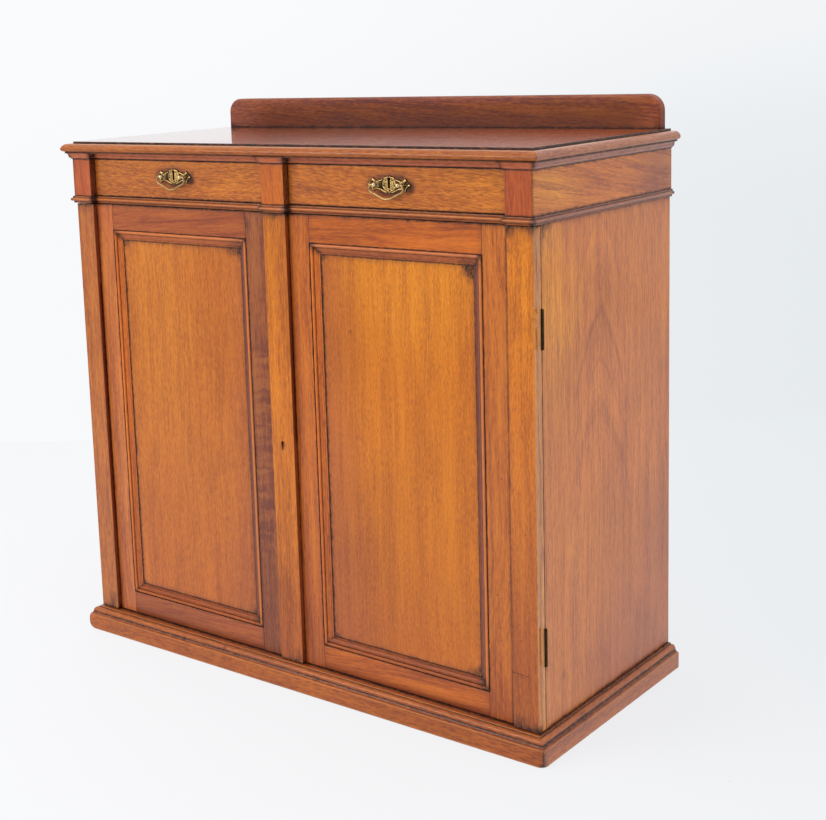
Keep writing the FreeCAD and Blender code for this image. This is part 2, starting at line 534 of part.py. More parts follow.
# ---------------------------------------------------------------- write
lo, hi = V(1e9, 1e9, 1e9), V(-1e9, -1e9, -1e9)
for name in sorted(NODES):
    solids = []
    for s in NODES[name]:
        s = s.copy()
        s.translate(SHIFT)
        solids.append(s)
    shape = solids[0] if len(solids) == 1 else Part.Compound(solids)
    b = shape.BoundBox
    lo = V(min(lo.x, b.XMin), min(lo.y, b.YMin), min(lo.z, b.ZMin))
    hi = V(max(hi.x, b.XMax), max(hi.y, b.YMax), max(hi.z, b.ZMax))
    shape.exportStep("parts/" + name + ".step")
print(len(NODES), "nodes", "low", lo, "high", hi)
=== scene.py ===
import json
import math
import random

import bmesh
import bpy
from mathutils import Matrix, Vector, noise
from mathutils.geometry import delaunay_2d_cdt


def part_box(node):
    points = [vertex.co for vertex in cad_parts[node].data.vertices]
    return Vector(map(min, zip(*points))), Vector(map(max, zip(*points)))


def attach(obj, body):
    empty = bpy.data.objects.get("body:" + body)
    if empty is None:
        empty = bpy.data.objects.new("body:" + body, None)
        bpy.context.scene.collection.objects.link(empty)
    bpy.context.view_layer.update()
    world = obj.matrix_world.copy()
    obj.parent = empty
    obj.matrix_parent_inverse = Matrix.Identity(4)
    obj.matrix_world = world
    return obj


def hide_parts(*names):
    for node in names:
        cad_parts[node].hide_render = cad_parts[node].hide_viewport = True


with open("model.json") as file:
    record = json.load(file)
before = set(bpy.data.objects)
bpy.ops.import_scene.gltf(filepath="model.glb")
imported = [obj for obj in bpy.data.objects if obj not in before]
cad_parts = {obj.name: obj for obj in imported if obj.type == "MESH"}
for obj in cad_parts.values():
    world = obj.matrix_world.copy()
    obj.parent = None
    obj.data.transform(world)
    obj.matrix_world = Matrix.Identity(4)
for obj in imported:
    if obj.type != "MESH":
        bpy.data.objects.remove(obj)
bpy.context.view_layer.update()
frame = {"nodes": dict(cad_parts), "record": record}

scene = bpy.context.scene
NODES = frame["nodes"]
BODY = {n: b for b, ns in frame["record"]["behaviour"]["bodies"].items() for n in ns}

MM = 0.001
S = 221.65                      # the construction's y = 0, the front of the pilasters, is at -S here


def P(x, y, z):
    return Vector((x * MM, (y - S) * MM, z * MM))


# ------------------------------------------------------------------ colours and node trees
def lin(r, g, b):
    def f(v):
        v = v / 255.0
        return v / 12.92 if v <= 0.04045 else ((v + 0.055) / 1.055) ** 2.4
    return (f(r), f(g), f(b), 1.0)


def shades(r, g, b, k=1.0):
    """Light, middle and dark tone of one wood: the light one is more golden, the dark one slightly greyer."""
    m = lin(r, g, b)
    light = (m[0] * (1 + .24 * k), m[1] * (1 + .42 * k), m[2] * (1 + .16 * k), 1)
    dark = (m[0] * (1 - .41 * k), m[1] * (1 - .46 * k), m[2] * (1 - .27 * k) + .003 * k, 1)
    return light, m, dark


# middle tone of each board's polished mahogany; the panel mouldings' four runs have separate tones that hold painted
# light and shade for the way each run faces
TONE = {
    "side": (204, 117, 57),
    "frieze_side": (200, 110, 47),
    "block_l": (177, 84, 44),
    "block_c": (192, 98, 34),
    "block_r": (172, 80, 39),
    "plinth_front": (166, 84, 30),
    "plinth_side": (174, 95, 51),
    "waist_front": (168, 85, 29),
    "waist_side": (160, 96, 72),
    "bed_front": (184, 95, 56),
    "bed_side": (162, 102, 84),
    "top_flat": (158, 78, 38),
    "nose_front": (161, 85, 30),
    "nose_side": (168, 103, 73),
    "upstand": (130, 66, 26),
    "stile_lh": (194, 108, 54),
    "stile_lm": (153, 85, 49),
    "stile_rm": (189, 99, 38),
    "stile_rh": (189, 102, 42),
    "rail_l": (162, 82, 42),
    "rail_r": (188, 95, 32),
    "panel_r": (201, 111, 26),
    "panel_l": (191, 105, 37),
    "moulding_bottom": (161, 78, 31),
    "moulding_right": (190, 97, 42),
    "moulding_top": (188, 96, 44),
    "moulding_left": (209, 109, 42),
    "pilaster_l": (179, 101, 49),
    "pilaster_r": (210, 117, 36),
    "strip": (198, 109, 32),
    "drawer_l": (192, 107, 41),
    "drawer_r": (196, 109, 41),
}


class Tree:
    """A material's node tree, with short names for the nodes that it uses most."""

    def __init__(self, name):
        self.mat = bpy.data.materials.new(name)
        self.mat.use_nodes = True
        self.nt = self.mat.node_tree
        self.nt.nodes.clear()
        self.out = self.new("ShaderNodeOutputMaterial")
        self.bsdf = self.new("ShaderNodeBsdfPrincipled")
        self.nt.links.new(self.bsdf.outputs[0], self.out.inputs[0])
        self.obj = self.new("ShaderNodeTexCoord").outputs["Object"]
        s = self.new("ShaderNodeSeparateXYZ")
        self.put(s.inputs[0], self.obj)
        self.xyz = s.outputs

    def new(self, kind):
        return self.nt.nodes.new(kind)

    def put(self, socket, v):
        if isinstance(v, bpy.types.NodeSocket):
            self.nt.links.new(v, socket)
        else:
            socket.default_value = v

    def math(self, op, a, b=None, c=None, clamp=False):
        n = self.new("ShaderNodeMath")
        n.operation = op
        n.use_clamp = clamp
        for i, v in enumerate((a, b, c)):
            if v is not None:
                self.put(n.inputs[i], v)
        return n.outputs[0]

    def vmath(self, op, a, b=None, scale=None):
        n = self.new("ShaderNodeVectorMath")
        n.operation = op
        self.put(n.inputs[0], a)
        if b is not None:
            self.put(n.inputs[1], b)
        if scale is not None:
            self.put(n.inputs["Scale"], scale)
        return n.outputs["Value"] if op in ("LENGTH", "DISTANCE", "DOT_PRODUCT") else n.outputs[0]

    def noise(self, vec, scale, detail=2.0, rough=0.5, distortion=0.0):
        n = self.new("ShaderNodeTexNoise")
        self.put(n.inputs["Vector"], vec)
        n.inputs["Scale"].default_value = scale
        n.inputs["Detail"].default_value = detail
        n.inputs["Roughness"].default_value = rough
        n.inputs["Distortion"].default_value = distortion
        return n.outputs["Fac"]

    def step(self, v, a, b, lo=0.0, hi=1.0):
        n = self.new("ShaderNodeMapRange")
        n.interpolation_type = "SMOOTHSTEP"
        self.put(n.inputs["Value"], v)
        for k, x in (("From Min", a), ("From Max", b), ("To Min", lo), ("To Max", hi)):
            self.put(n.inputs[k], x)
        return n.outputs[0]

    def ramp(self, fac, stops):
        n = self.new("ShaderNodeValToRGB")
        e = n.color_ramp.elements
        while len(e) < len(stops):
            e.new(0.5)
        for i, (p, c) in enumerate(stops):
            e[i].position = p
            e[i].color = c
        self.put(n.inputs[0], fac)
        return n.outputs[0]

    def mix(self, fac, a, b, blend="MIX"):
        n = self.new("ShaderNodeMix")
        n.data_type = "RGBA"
        n.blend_type = blend
        self.put(n.inputs[0], fac)
        self.put(n.inputs[6], a)
        self.put(n.inputs[7], b)
        return n.outputs[2]

    def attr(self, name):
        n = self.new("ShaderNodeAttribute")
        n.attribute_type = "GEOMETRY"
        n.attribute_name = name
        return n.outputs["Fac"]

    def bump(self, height, distance, strength=1.0, normal=None):
        n = self.new("ShaderNodeBump")
        n.inputs["Strength"].default_value = strength
        n.inputs["Distance"].default_value = distance
        self.put(n.inputs["Height"], height)
        if normal is not None:
            self.put(n.inputs["Normal"], normal)
        return n.outputs[0]

    def along(self, vec, axis, across, along):
        v = [across] * 3
        v[axis] = along
        return self.vmath("MULTIPLY", vec, tuple(v))

    def edge_distance(self, lo, hi):
        """Distance to the nearest edge of an upright box, for a point on its surface."""
        d = []
        for i in range(3):
            a = self.math("SUBTRACT", self.xyz[i], lo[i])
            b = self.math("SUBTRACT", hi[i], self.xyz[i])
            d.append(self.math("MINIMUM", self.math("ABSOLUTE", a), self.math("ABSOLUTE", b)))
        low = self.math("MINIMUM", d[0], d[1])
        high = self.math("MAXIMUM", d[0], d[1])
        return self.math("MAXIMUM", low, self.math("MINIMUM", high, d[2]))


AX = {"x": 0, "y": 1, "z": 2}


def place(axis, v):
    return (v - S) * MM if axis == "y" else v * MM


def wood(name, axis, seed, rgb, k=1.0, bands=1.0, streaks=1.0, flecks=0.4, pores=0.6, box=None, tilt=None,
         rough=0.36, coat=0.55, coat_rough=0.12, bump=1.0, joint=0.0, edge_rub_and_highlight=0.0, edge_rub_and_highlight_w=1.0, grime_and_shade=(), spots=(), arch=None,
         fade=(), tone=0.16, cav=1.0, rub_and_highlight=1.0, soil=0.35, coat_ior=1.38, patches=(), cuts=(), coat_bump=0.3, coat_fade=None, halos=(), front=None, ripple=None, stretch=0.13):
    """Polished mahogany. axis is the grain's direction. grime: (axis, place, width, strength[, lowest z, highest z])
    for dark lines along a plane: soiling, and painted shade under mouldings, along grooves and at recessed edges;
    spots: (x, y, z, radius, strength); fade: (axis, from, to, colour, strength), also used for painted shade and
    painted highlight on some side faces; arch: (across axis, centre, apex z, scale);
    patches: (centre, half sizes, colour, strength) for soft areas of another tone, halos the same with a steady
    outline, also used for a handle's painted shadow; front: how far back the grime lines and spots reach; ripple:
    (lowest z, highest z, strength) for curly figure across the grain; stretch: how long the flecks are (smaller is
    longer); cuts: (from, to, width, strength) for scratches; worn, edge_rub_and_highlight_w: strength and width of
    lighter box edges, rubbed and with a painted highlight; cav, wear: how strongly the mesh's darkened hollows (soiling
    and painted shade) and lightened proud edges (rubbing and painted highlight) show."""
    t = Tree(name)
    g = AX[axis]
    hi, mid, lo = shades(*rgb, k=k)
    p = t.vmath("ADD", t.obj, (seed * 1.731 % 11, seed * 2.917 % 13, seed * 0.773 % 7))

    def tint(m, c, rgbt):
        """Towards another tone, with the grain kept."""
        return t.mix(m, c, t.vmath("MULTIPLY", figure, tuple(a_ / max(b_, 0.004) for a_, b_ in zip(lin(*rgbt)[:3], mid[:3]))))

    if tilt:
        r = t.new("ShaderNodeVectorRotate")
        r.rotation_type = "EULER_XYZ"
        t.put(r.inputs["Vector"], p)
        r.inputs["Rotation"].default_value = tilt
        p = r.outputs[0]
    warp = t.math("MULTIPLY", t.math("SUBTRACT", t.noise(t.along(p, g, 1.0, 0.45), 3.2, 2.0), 0.5), 0.055)
    q = t.vmath("ADD", p, t.vmath("SCALE", (1.0, 1.0, 1.0), scale=warp))
    band = t.noise(t.along(q, g, 1.0, 0.045), 44.0, 3.0, 0.55)
    streak = t.noise(t.along(q, g, 1.0, 0.040), 230.0, 3.0, 0.62)
    fibre = t.noise(t.along(q, g, 1.0, 0.022), 820.0, 2.0, 0.6)
    fleck = t.noise(t.along(p, g, 1.0, stretch), 520.0, 2.0, 0.65)
    dash = t.noise(t.along(q, g, 1.0, 0.10), 640.0, 1.0, 0.5)
    dash = t.math("MULTIPLY", t.step(dash, 0.56, 0.72), t.step(t.noise(t.along(p, g, 1.0, 0.3), 19.0, 2.0), 0.40, 0.62, 0.25, 1.0))
    pore_n = t.noise(t.along(q, g, 1.0, 0.085), 1150.0, 2.0, 0.6)
    pore = t.step(pore_n, 0.585, 0.70)
    cloud = t.noise(p, 5.5, 2.0, 0.5)

    v = t.math("MULTIPLY_ADD", t.math("SUBTRACT", band, 0.5), 1.55 * bands, 0.5)
    v = t.math("MULTIPLY_ADD", t.math("SUBTRACT", streak, 0.5), 1.15 * streaks, v)
    v = t.math("MULTIPLY_ADD", t.math("SUBTRACT", fibre, 0.5), 0.55 * streaks, v)
    v = t.math("MULTIPLY_ADD", t.math("SUBTRACT", fleck, 0.5), 2.5 * flecks, v)
    v = t.math("MULTIPLY_ADD", dash, -0.5 * flecks, v)
    if arch:
        ax, centre, apex, scale = arch
        across = t.math("SUBTRACT", t.xyz[AX[ax]], place(ax, centre))
        across = t.math("ADD", across, t.math("MULTIPLY", t.math("SUBTRACT", t.noise(t.along(p, 2, 1.0, 0.4), 6.0, 2.0), 0.5), 0.05))
        drop = t.math("MULTIPLY", t.math("POWER", t.math("ABSOLUTE", across), 1.65), scale)
        f = t.math("ADD", t.math("SUBTRACT", t.xyz[2], apex * MM), drop)
        wob = t.math("MULTIPLY", t.math("SUBTRACT", t.noise(t.along(p, 2, 1.0, 0.4), 9.0, 3.0), 0.5), 0.075)
        f = t.math("ADD", f, wob)
        rings = t.noise(t.vmath("MULTIPLY", (1.0, 0.37, 0.71), t.vmath("SCALE", (1.0, 1.0, 1.0), scale=f)), 22.0, 4.0, 0.72)
        rings = t.math("MULTIPLY", t.math("SUBTRACT", 0.5, rings), 7.0)
        near = t.math("MULTIPLY", t.step(t.math("ABSOLUTE", across), 0.135, 0.05), t.math("MULTIPLY", t.step(f, 0.03, -0.02), t.step(f, -0.50, -0.25)))
        v = t.math("MULTIPLY_ADD", t.math("MULTIPLY", rings, near), -0.20, v)
    if ripple:
        curl = t.noise(t.vmath("MULTIPLY", t.vmath("ADD", p, t.vmath("SCALE", (0.0, 0.0, 1.0), scale=t.math("MULTIPLY", t.math("SUBTRACT", band, 0.5), 0.03))), (0.2, 0.2, 1.0)), 84.0, 3.0, 0.5)
        reach = t.math("MULTIPLY", t.step(t.xyz[2], (ripple[0] - 40) * MM, (ripple[0] + 60) * MM), t.step(t.xyz[2], (ripple[1] + 60) * MM, (ripple[1] - 40) * MM))
        v = t.math("MULTIPLY_ADD", t.math("MULTIPLY", t.math("SUBTRACT", curl, 0.5), reach), ripple[2], v)
    col = t.ramp(v, [(0.0, lo), (0.5, mid), (1.0, hi)])
    scale = t.math("MULTIPLY_ADD", t.math("SUBTRACT", cloud, 0.5), 2.0 * tone, 1.0)
    col = t.vmath("SCALE", col, scale=scale)
    col = t.mix(t.math("MULTIPLY", pore, pores * 0.55), col, tuple(list(c * 0.42 for c in lo[:3]) + [1]))
    figure = col
    for axf, a, b, rgbf, sf in fade:
        m = t.step(t.xyz[AX[axf]], place(axf, a), place(axf, b), 0.0, sf)
        m = t.math("MULTIPLY", m, t.math("MULTIPLY_ADD", cloud, 0.8, 0.6))
        col = tint(m, col, rgbf)
    for centre, half, rgbp, sp in patches:
        d = t.vmath("SUBTRACT", t.vmath("ADD", t.obj, t.vmath("SCALE", (1.0, 1.0, 1.0), scale=t.math("MULTIPLY", t.math("SUBTRACT", cloud, 0.5), 0.12))), tuple(P(*centre)))
        d = t.vmath("LENGTH", t.vmath("MULTIPLY", d, tuple(1000.0 / h_ for h_ in half)))
        m = t.math("MULTIPLY", t.step(d, 1.0, 0.15), t.math("MULTIPLY_ADD", streak, 1.3, 0.35), clamp=True)
        col = tint(t.math("MULTIPLY", m, sp), col, rgbp)

    patch = t.noise(t.obj, 46.0, 3.0, 0.6)
    wide = t.math("MULTIPLY_ADD", patch, 2.6, -0.3)             # about 0.4 to 1.6
    for centre, half, rgbp, sp in halos:
        d = t.vmath("LENGTH", t.vmath("MULTIPLY", t.vmath("SUBTRACT", t.obj, tuple(P(*centre))), tuple(1000.0 / h_ for h_ in half)))
        m = t.math("MULTIPLY", t.step(d, 1.0, 0.3), t.math("MULTIPLY_ADD", patch, 0.8, 0.55), clamp=True)
        col = tint(t.math("MULTIPLY", m, sp), col, rgbp)
    rub_and_highlight_m = t.math("MULTIPLY", t.attr("rub_and_highlight"), rub_and_highlight)
    # darkening mask: soiling together with painted shade in hollows, grooves, corners and under mouldings
    dirt_and_shade = t.math("MULTIPLY", t.attr("cav"), cav)
    fore = t.step(t.xyz[1], place("y", front + 0.6), place("y", front)) if front is not None else 1.0
    if box is not None:
        d = t.edge_distance([c + 0.0 for c in box[0]], [c + 0.0 for c in box[1]])
        if edge_rub_and_highlight:
            w = t.math("MULTIPLY", wide, edge_rub_and_highlight_w * MM)
            rub_and_highlight_m = t.math("MAXIMUM", rub_and_highlight_m, t.math("MULTIPLY", t.step(t.math("DIVIDE", d, w), 1.0, 0.25), edge_rub_and_highlight))
        if joint:
            w = t.math("MULTIPLY", wide, 0.9 * MM)
            dirt_and_shade = t.math("MAXIMUM", dirt_and_shade, t.math("MULTIPLY", t.step(t.math("DIVIDE", d, w), 1.0, 0.2), joint))
    for axg, pos, width, s, *span in grime_and_shade:
        d = t.math("ABSOLUTE", t.math("SUBTRACT", t.xyz[AX[axg]], place(axg, pos)))
        m = t.math("MULTIPLY", t.step(t.math("DIVIDE", d, t.math("MULTIPLY", wide, width * MM)), 1.0, 0.0), s)
        if span:
            m = t.math("MULTIPLY", m, t.math("MULTIPLY", t.step(t.xyz[2], (span[0] - 3) * MM, (span[0] + 3) * MM), t.step(t.xyz[2], (span[1] + 3) * MM, (span[1] - 3) * MM)))
        if front is not None:
            m = t.math("MULTIPLY", m, fore)
        dirt_and_shade = t.math("ADD", dirt_and_shade, t.math("MULTIPLY", m, t.math("SUBTRACT", 1.0, dirt_and_shade, clamp=True)))
    for x, y, z, r, s in spots:
        d = t.vmath("DISTANCE", t.obj, tuple(P(x, y, z)))
        m = t.math("MULTIPLY", t.step(t.math("DIVIDE", d, t.math("MULTIPLY", wide, r * MM)), 1.0, 0.0), s)
        if front is not None:
            m = t.math("MULTIPLY", m, fore)
        dirt_and_shade = t.math("ADD", dirt_and_shade, t.math("MULTIPLY", m, t.math("SUBTRACT", 1.0, dirt_and_shade, clamp=True)))
    for a_, b_, width, s in cuts:
        pa, ba = t.vmath("SUBTRACT", t.obj, tuple(P(*a_))), P(*b_) - P(*a_)
        h_ = t.math("DIVIDE", t.vmath("DOT_PRODUCT", pa, tuple(ba)), ba.length_squared, clamp=True)
        d = t.vmath("LENGTH", t.vmath("SUBTRACT", pa, t.vmath("SCALE", tuple(ba), scale=h_)))
        m = t.math("MULTIPLY", t.step(t.math("DIVIDE", d, t.math("MULTIPLY", wide, width * MM)), 1.0, 0.2), s)
        dirt_and_shade = t.math("ADD", dirt_and_shade, t.math("MULTIPLY", m, t.math("SUBTRACT", 1.0, dirt_and_shade, clamp=True)))
    specks = t.step(t.noise(t.obj, 210.0, 1.0, 0.5), 0.735, 0.79)
    specks = t.math("MULTIPLY", specks, t.step(t.noise(t.obj, 17.0, 1.0), 0.48, 0.62, 0.0, soil))
    dirt_and_shade = t.math("ADD", dirt_and_shade, specks, clamp=True)

    # lighter golden colour for rubbed proud edges, standing in also for a painted highlight along them
    rub_and_highlight_col = tuple([min(1.0, c * f + a) for c, f, a in zip(hi[:3], (1.08, 1.3, 1.6), (0.04, 0.03, 0.02))] + [1])
    col = t.mix(t.math("MULTIPLY", rub_and_highlight_m, 0.6), col, rub_and_highlight_col)
    grit = t.noise(t.along(t.obj, g, 1.0, 0.3), 360.0, 3.0, 0.7)
    dirt_and_shade = t.math("MULTIPLY", dirt_and_shade, t.math("MULTIPLY_ADD", grit, 2.3, -0.1), clamp=True)
    # dark ramp for soiling and for painted shade
    dirt_and_shade_col = t.ramp(dirt_and_shade, [(0.0, lin(120, 60, 38)), (0.4, lin(78, 42, 30)), (1.0, lin(24, 16, 15))])
    col = t.mix(t.math("MULTIPLY", dirt_and_shade, 0.94), col, dirt_and_shade_col)
    t.put(t.bsdf.inputs["Base Color"], col)

    r = t.math("MULTIPLY_ADD", t.math("SUBTRACT", streak, 0.5), 0.16, rough)
    r = t.math("MULTIPLY_ADD", pore, 0.14, r)
    r = t.math("MULTIPLY_ADD", dirt_and_shade, 0.22, r)
    r = t.math("MULTIPLY_ADD", t.math("SUBTRACT", patch, 0.5), 0.16, r, clamp=True)
    t.put(t.bsdf.inputs["Roughness"], r)
    wave = t.bump(t.noise(t.obj, 16.0, 2.0, 0.4), 0.0016 * bump, 0.14)
    h = t.math("MULTIPLY_ADD", pore, -1.0, t.math("MULTIPLY", fibre, 0.5))
    h = t.math("MULTIPLY_ADD", specks, -2.0, h)
    t.put(t.bsdf.inputs["Normal"], t.bump(h, 0.00016, 0.5 * bump, wave))
    t.put(t.bsdf.inputs["Coat Normal"], t.bump(t.math("MULTIPLY", pore, -1.0), 0.00006, coat_bump * bump, wave))
    if coat_fade:
        axc, a_, b_, end = coat_fade
        t.put(t.bsdf.inputs["Coat Weight"], t.math("MULTIPLY", t.step(t.xyz[AX[axc]], place(axc, a_), place(axc, b_), coat, end), t.math("MULTIPLY_ADD", patch, 0.3, 0.85)))
    else:
        t.bsdf.inputs["Coat Weight"].default_value = coat
    t.bsdf.inputs["Coat Roughness"].default_value = coat_rough
    t.bsdf.inputs["Coat IOR"].default_value = coat_ior
    t.bsdf.inputs["IOR"].default_value = 1.26
    return t.mat


def deal(name, axis, seed, rgb, k=1.0, rings=1.0, dust=0.3, box=None, rough=0.72, knots=True):
    """Unpolished softwood, darkened with age: growth lines, the odd knot, dust and rubbed edges."""
    t = Tree(name)
    g = AX[axis]
    hi, mid, lo = shades(*rgb, k=k)
    p = t.vmath("ADD", t.obj, (seed * 1.337 % 9, seed * 2.411 % 7, seed * 0.917 % 5))
    kn = t.new("ShaderNodeTexVoronoi")
    kn.inputs["Scale"].default_value = 4.2
    t.put(kn.inputs["Vector"], t.along(p, g, 1.0, 0.55))
    knot = t.step(kn.outputs["Distance"], 0.085, 0.03) if knots else 0.0
    swirl = t.math("MULTIPLY", t.step(kn.outputs["Distance"], 0.36, 0.02), 0.022) if knots else 0.0
    warp = t.math("MULTIPLY_ADD", t.math("SUBTRACT", t.noise(t.along(p, g, 1.0, 0.35), 4.0, 2.0), 0.5), 0.06, swirl)
    q = t.vmath("ADD", p, t.vmath("SCALE", (1.0, 1.0, 1.0), scale=warp))
    rad = t.noise(t.along(q, g, 1.0, 0.03), 30.0, 2.0, 0.45)
    line = t.math("FRACT", t.math("MULTIPLY", rad, 22.0))
    late = t.math("MULTIPLY", t.step(line, 0.55, 0.95), t.step(line, 1.0, 0.96))
    fibre = t.noise(t.along(q, g, 1.0, 0.02), 700.0, 3.0, 0.6)
    cloud = t.noise(p, 6.0, 3.0, 0.55)
    v = t.math("MULTIPLY_ADD", t.math("SUBTRACT", fibre, 0.5), 1.2, 0.58)
    v = t.math("MULTIPLY_ADD", late, -0.5 * rings, v)
    v = t.math("MULTIPLY_ADD", t.math("SUBTRACT", cloud, 0.5), 0.6, v)
    col = t.ramp(v, [(0.0, lo), (0.5, mid), (1.0, hi)])
    if knots:
        col = t.mix(t.math("MULTIPLY", knot, 0.8), col, lin(92, 52, 26))
    stain = t.step(t.noise(p, 3.0, 4.0, 0.6), 0.46, 0.68)
    col = t.mix(t.math("MULTIPLY", stain, 0.35), col, lin(96, 68, 44))
    dusty = t.step(t.noise(t.along(t.obj, g, 1.0, 0.3), 34.0, 5.0, 0.7), 0.35, 0.8)
    col = t.mix(t.math("MULTIPLY", dusty, dust), col, lin(168, 152, 130))
    if box is not None:
        d = t.edge_distance(list(box[0]), list(box[1]))
        w = t.math("MULTIPLY_ADD", t.noise(t.obj, 55.0, 2.0), 4.0 * MM, -0.7 * MM)
        e = t.step(t.math("DIVIDE", d, t.math("MAXIMUM", w, 0.0003)), 1.0, 0.2)
        col = t.mix(t.math("MULTIPLY", e, 0.5), col, lin(84, 58, 38))
    t.put(t.bsdf.inputs["Base Color"], col)
    r = t.math("MULTIPLY_ADD", t.math("SUBTRACT", cloud, 0.5), 0.3, rough, clamp=True)
    t.put(t.bsdf.inputs["Roughness"], r)
    h = t.math("MULTIPLY_ADD", late, 0.6, fibre)
    t.put(t.bsdf.inputs["Normal"], t.bump(h, 0.0005, 0.45))
    t.bsdf.inputs["IOR"].default_value = 1.4
    return t.mat


def metal(name, bright, dull, black, seed=0, rough=0.34, tarnish=0.5, brushed=None, cav=1.0, scratch=0.3):
    """Old metal: bright where it is rubbed, dull on the flats, black in the hollows."""
    t = Tree(name)
    p = t.vmath("ADD", t.obj, (seed * 0.37, seed * 0.91, seed * 0.53))
    n1 = t.noise(p, 260.0, 4.0, 0.6)
    n2 = t.noise(p, 900.0, 3.0, 0.6)
    n3 = t.noise(p, 60.0, 3.0, 0.6)
    m = t.math("MULTIPLY_ADD", t.math("SUBTRACT", n1, 0.5), 1.8, tarnish)
    m = t.math("MULTIPLY_ADD", t.math("SUBTRACT", n3, 0.5), 1.2, m)
    m = t.math("SUBTRACT", m, t.math("MULTIPLY", t.attr("rub_and_highlight"), 0.9), clamp=True)
    col = t.mix(m, lin(*bright), lin(*dull))
    pit = t.step(n2, 0.66, 0.74)
    c = t.math("ADD", t.math("MULTIPLY", t.attr("cav"), cav), t.math("MULTIPLY", pit, 0.5), clamp=True)
    col = t.mix(c, col, lin(*black))
    t.put(t.bsdf.inputs["Base Color"], col)
    r = t.math("MULTIPLY_ADD", m, 0.22, rough)
    r = t.math("MULTIPLY_ADD", c, 0.3, r, clamp=True)
    t.put(t.bsdf.inputs["Roughness"], r)
    t.put(t.bsdf.inputs["Metallic"], t.math("MULTIPLY_ADD", c, -0.55, 1.0, clamp=True))
    h = t.math("MULTIPLY_ADD", pit, -0.8, n1)
    if brushed is not None:
        h = t.math("MULTIPLY_ADD", t.noise(t.along(p, AX[brushed], 1.0, 0.03), 2600.0, 2.0), scratch * 4, h)
    t.put(t.bsdf.inputs["Normal"], t.bump(h, 0.00012, 0.4))
    return t.mat


# ------------------------------------------------------------------ mesh helpers
def new_object(name, mesh):
    o = bpy.data.objects.new(name, mesh)
    scene.collection.objects.link(o)
    return o


def set_floats(mesh, name, values):
    a = mesh.attributes.get(name) or mesh.attributes.new(name, "FLOAT", "POINT")
    a.data.foreach_set("value", values)


def finish_piece(o, node, mats, weighted=True, body=None):
    """Materials, smooth shading with face-weighted normals, and the piece's place in the frame."""
    me = o.data
    for m in mats if isinstance(mats, (list, tuple)) else [mats]:
        me.materials.append(m)
    for f in me.polygons:
        f.use_smooth = True
    if weighted:
        w = o.modifiers.new("normals", "WEIGHTED_NORMAL")
        w.keep_sharp = True
        w.weight = 60
    nodes = [node] if isinstance(node, str) else list(node)
    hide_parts(*nodes)
    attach(o, body or BODY[nodes[0]])
    return o


def weld_copy(node):
    bm = bmesh.new()
    bm.from_mesh(NODES[node].data)
    bmesh.ops.remove_doubles(bm, verts=bm.verts[:], dist=2e-6)
    bmesh.ops.dissolve_limit(bm, angle_limit=math.radians(0.6), verts=bm.verts[:], edges=bm.edges[:])
    return bm


def refine(node, mats, bevel=0.7, seg=2, min_len=6.0, grid=(None, None, None), wob=0.08, seed=0, pick=None):
    """The CAD shape with eased edges and the slight unevenness of a hand-planed, long-used board."""
    bm = weld_copy(node)
    edges = [e for e in bm.edges if len(e.link_faces) == 2 and e.is_convex and e.calc_face_angle(0) > math.radians(40)
             and e.calc_length() > min_len * MM and (pick is None or pick(e))]
    bmesh.ops.bevel(bm, geom=edges, offset=bevel * MM, offset_type="OFFSET", segments=seg, profile=0.5, affect="EDGES", clamp_overlap=False)
    co = [v.co for v in bm.verts]
    lo = [min(c[i] for c in co) for i in range(3)]
    hi = [max(c[i] for c in co) for i in range(3)]
    for i in range(3):
        if grid[i]:
            n = max(1, round((hi[i] - lo[i]) / (grid[i] * MM)))
            no = [0, 0, 0]
            no[i] = 1
            for j in range(1, n):
                c = [0, 0, 0]
                c[i] = lo[i] + (hi[i] - lo[i]) * (j + 0.137) / n
                bmesh.ops.bisect_plane(bm, geom=bm.verts[:] + bm.edges[:] + bm.faces[:], dist=1e-7, plane_co=c, plane_no=no)
    bm.normal_update()
    if wob:
        shift = Vector((seed * 3.1, seed * 1.7, seed * 2.3))
        move = []
        for v in bm.verts:
            a = 0.5 + 0.5 * noise.noise(v.co * 11.0 + shift)
            b = max(0.0, noise.noise(v.co * 70.0 + shift)) if len(set(tuple(round(c, 1) for c in f.normal) for f in v.link_faces)) > 1 else 0.0
            move.append((v, v.normal.copy(), (a + 1.6 * b) * wob * MM))
        for v, n, a in move:
            v.co -= n * a
    bm.normal_update()
    me = bpy.data.meshes.new("v_" + node)
    bm.to_mesh(me)
    bm.free()
    me.set_sharp_from_angle(angle=math.radians(50))
    return finish_piece(new_object("v_" + node, me), node, mats)


def keep(node, mat, bevel=None):
    """A CAD node whose shape is right: it gets its material, and eased edges as a modifier."""
    o = NODES[node]
    if not o.material_slots:
        o.data.materials.append(None)
    for s in o.material_slots:
        s.link = "OBJECT"
        s.material = mat
    if bevel:
        w = o.modifiers.new("weld", "WELD")
        w.merge_threshold = 2e-6
        b = o.modifiers.new("ease", "BEVEL")
        b.width = bevel * MM
        b.segments = 2
        b.limit_method = "ANGLE"
        b.angle_limit = math.radians(40)
        b.use_clamp_overlap = True
        n = o.modifiers.new("normals", "WEIGHTED_NORMAL")
        n.weight = 60
    return o


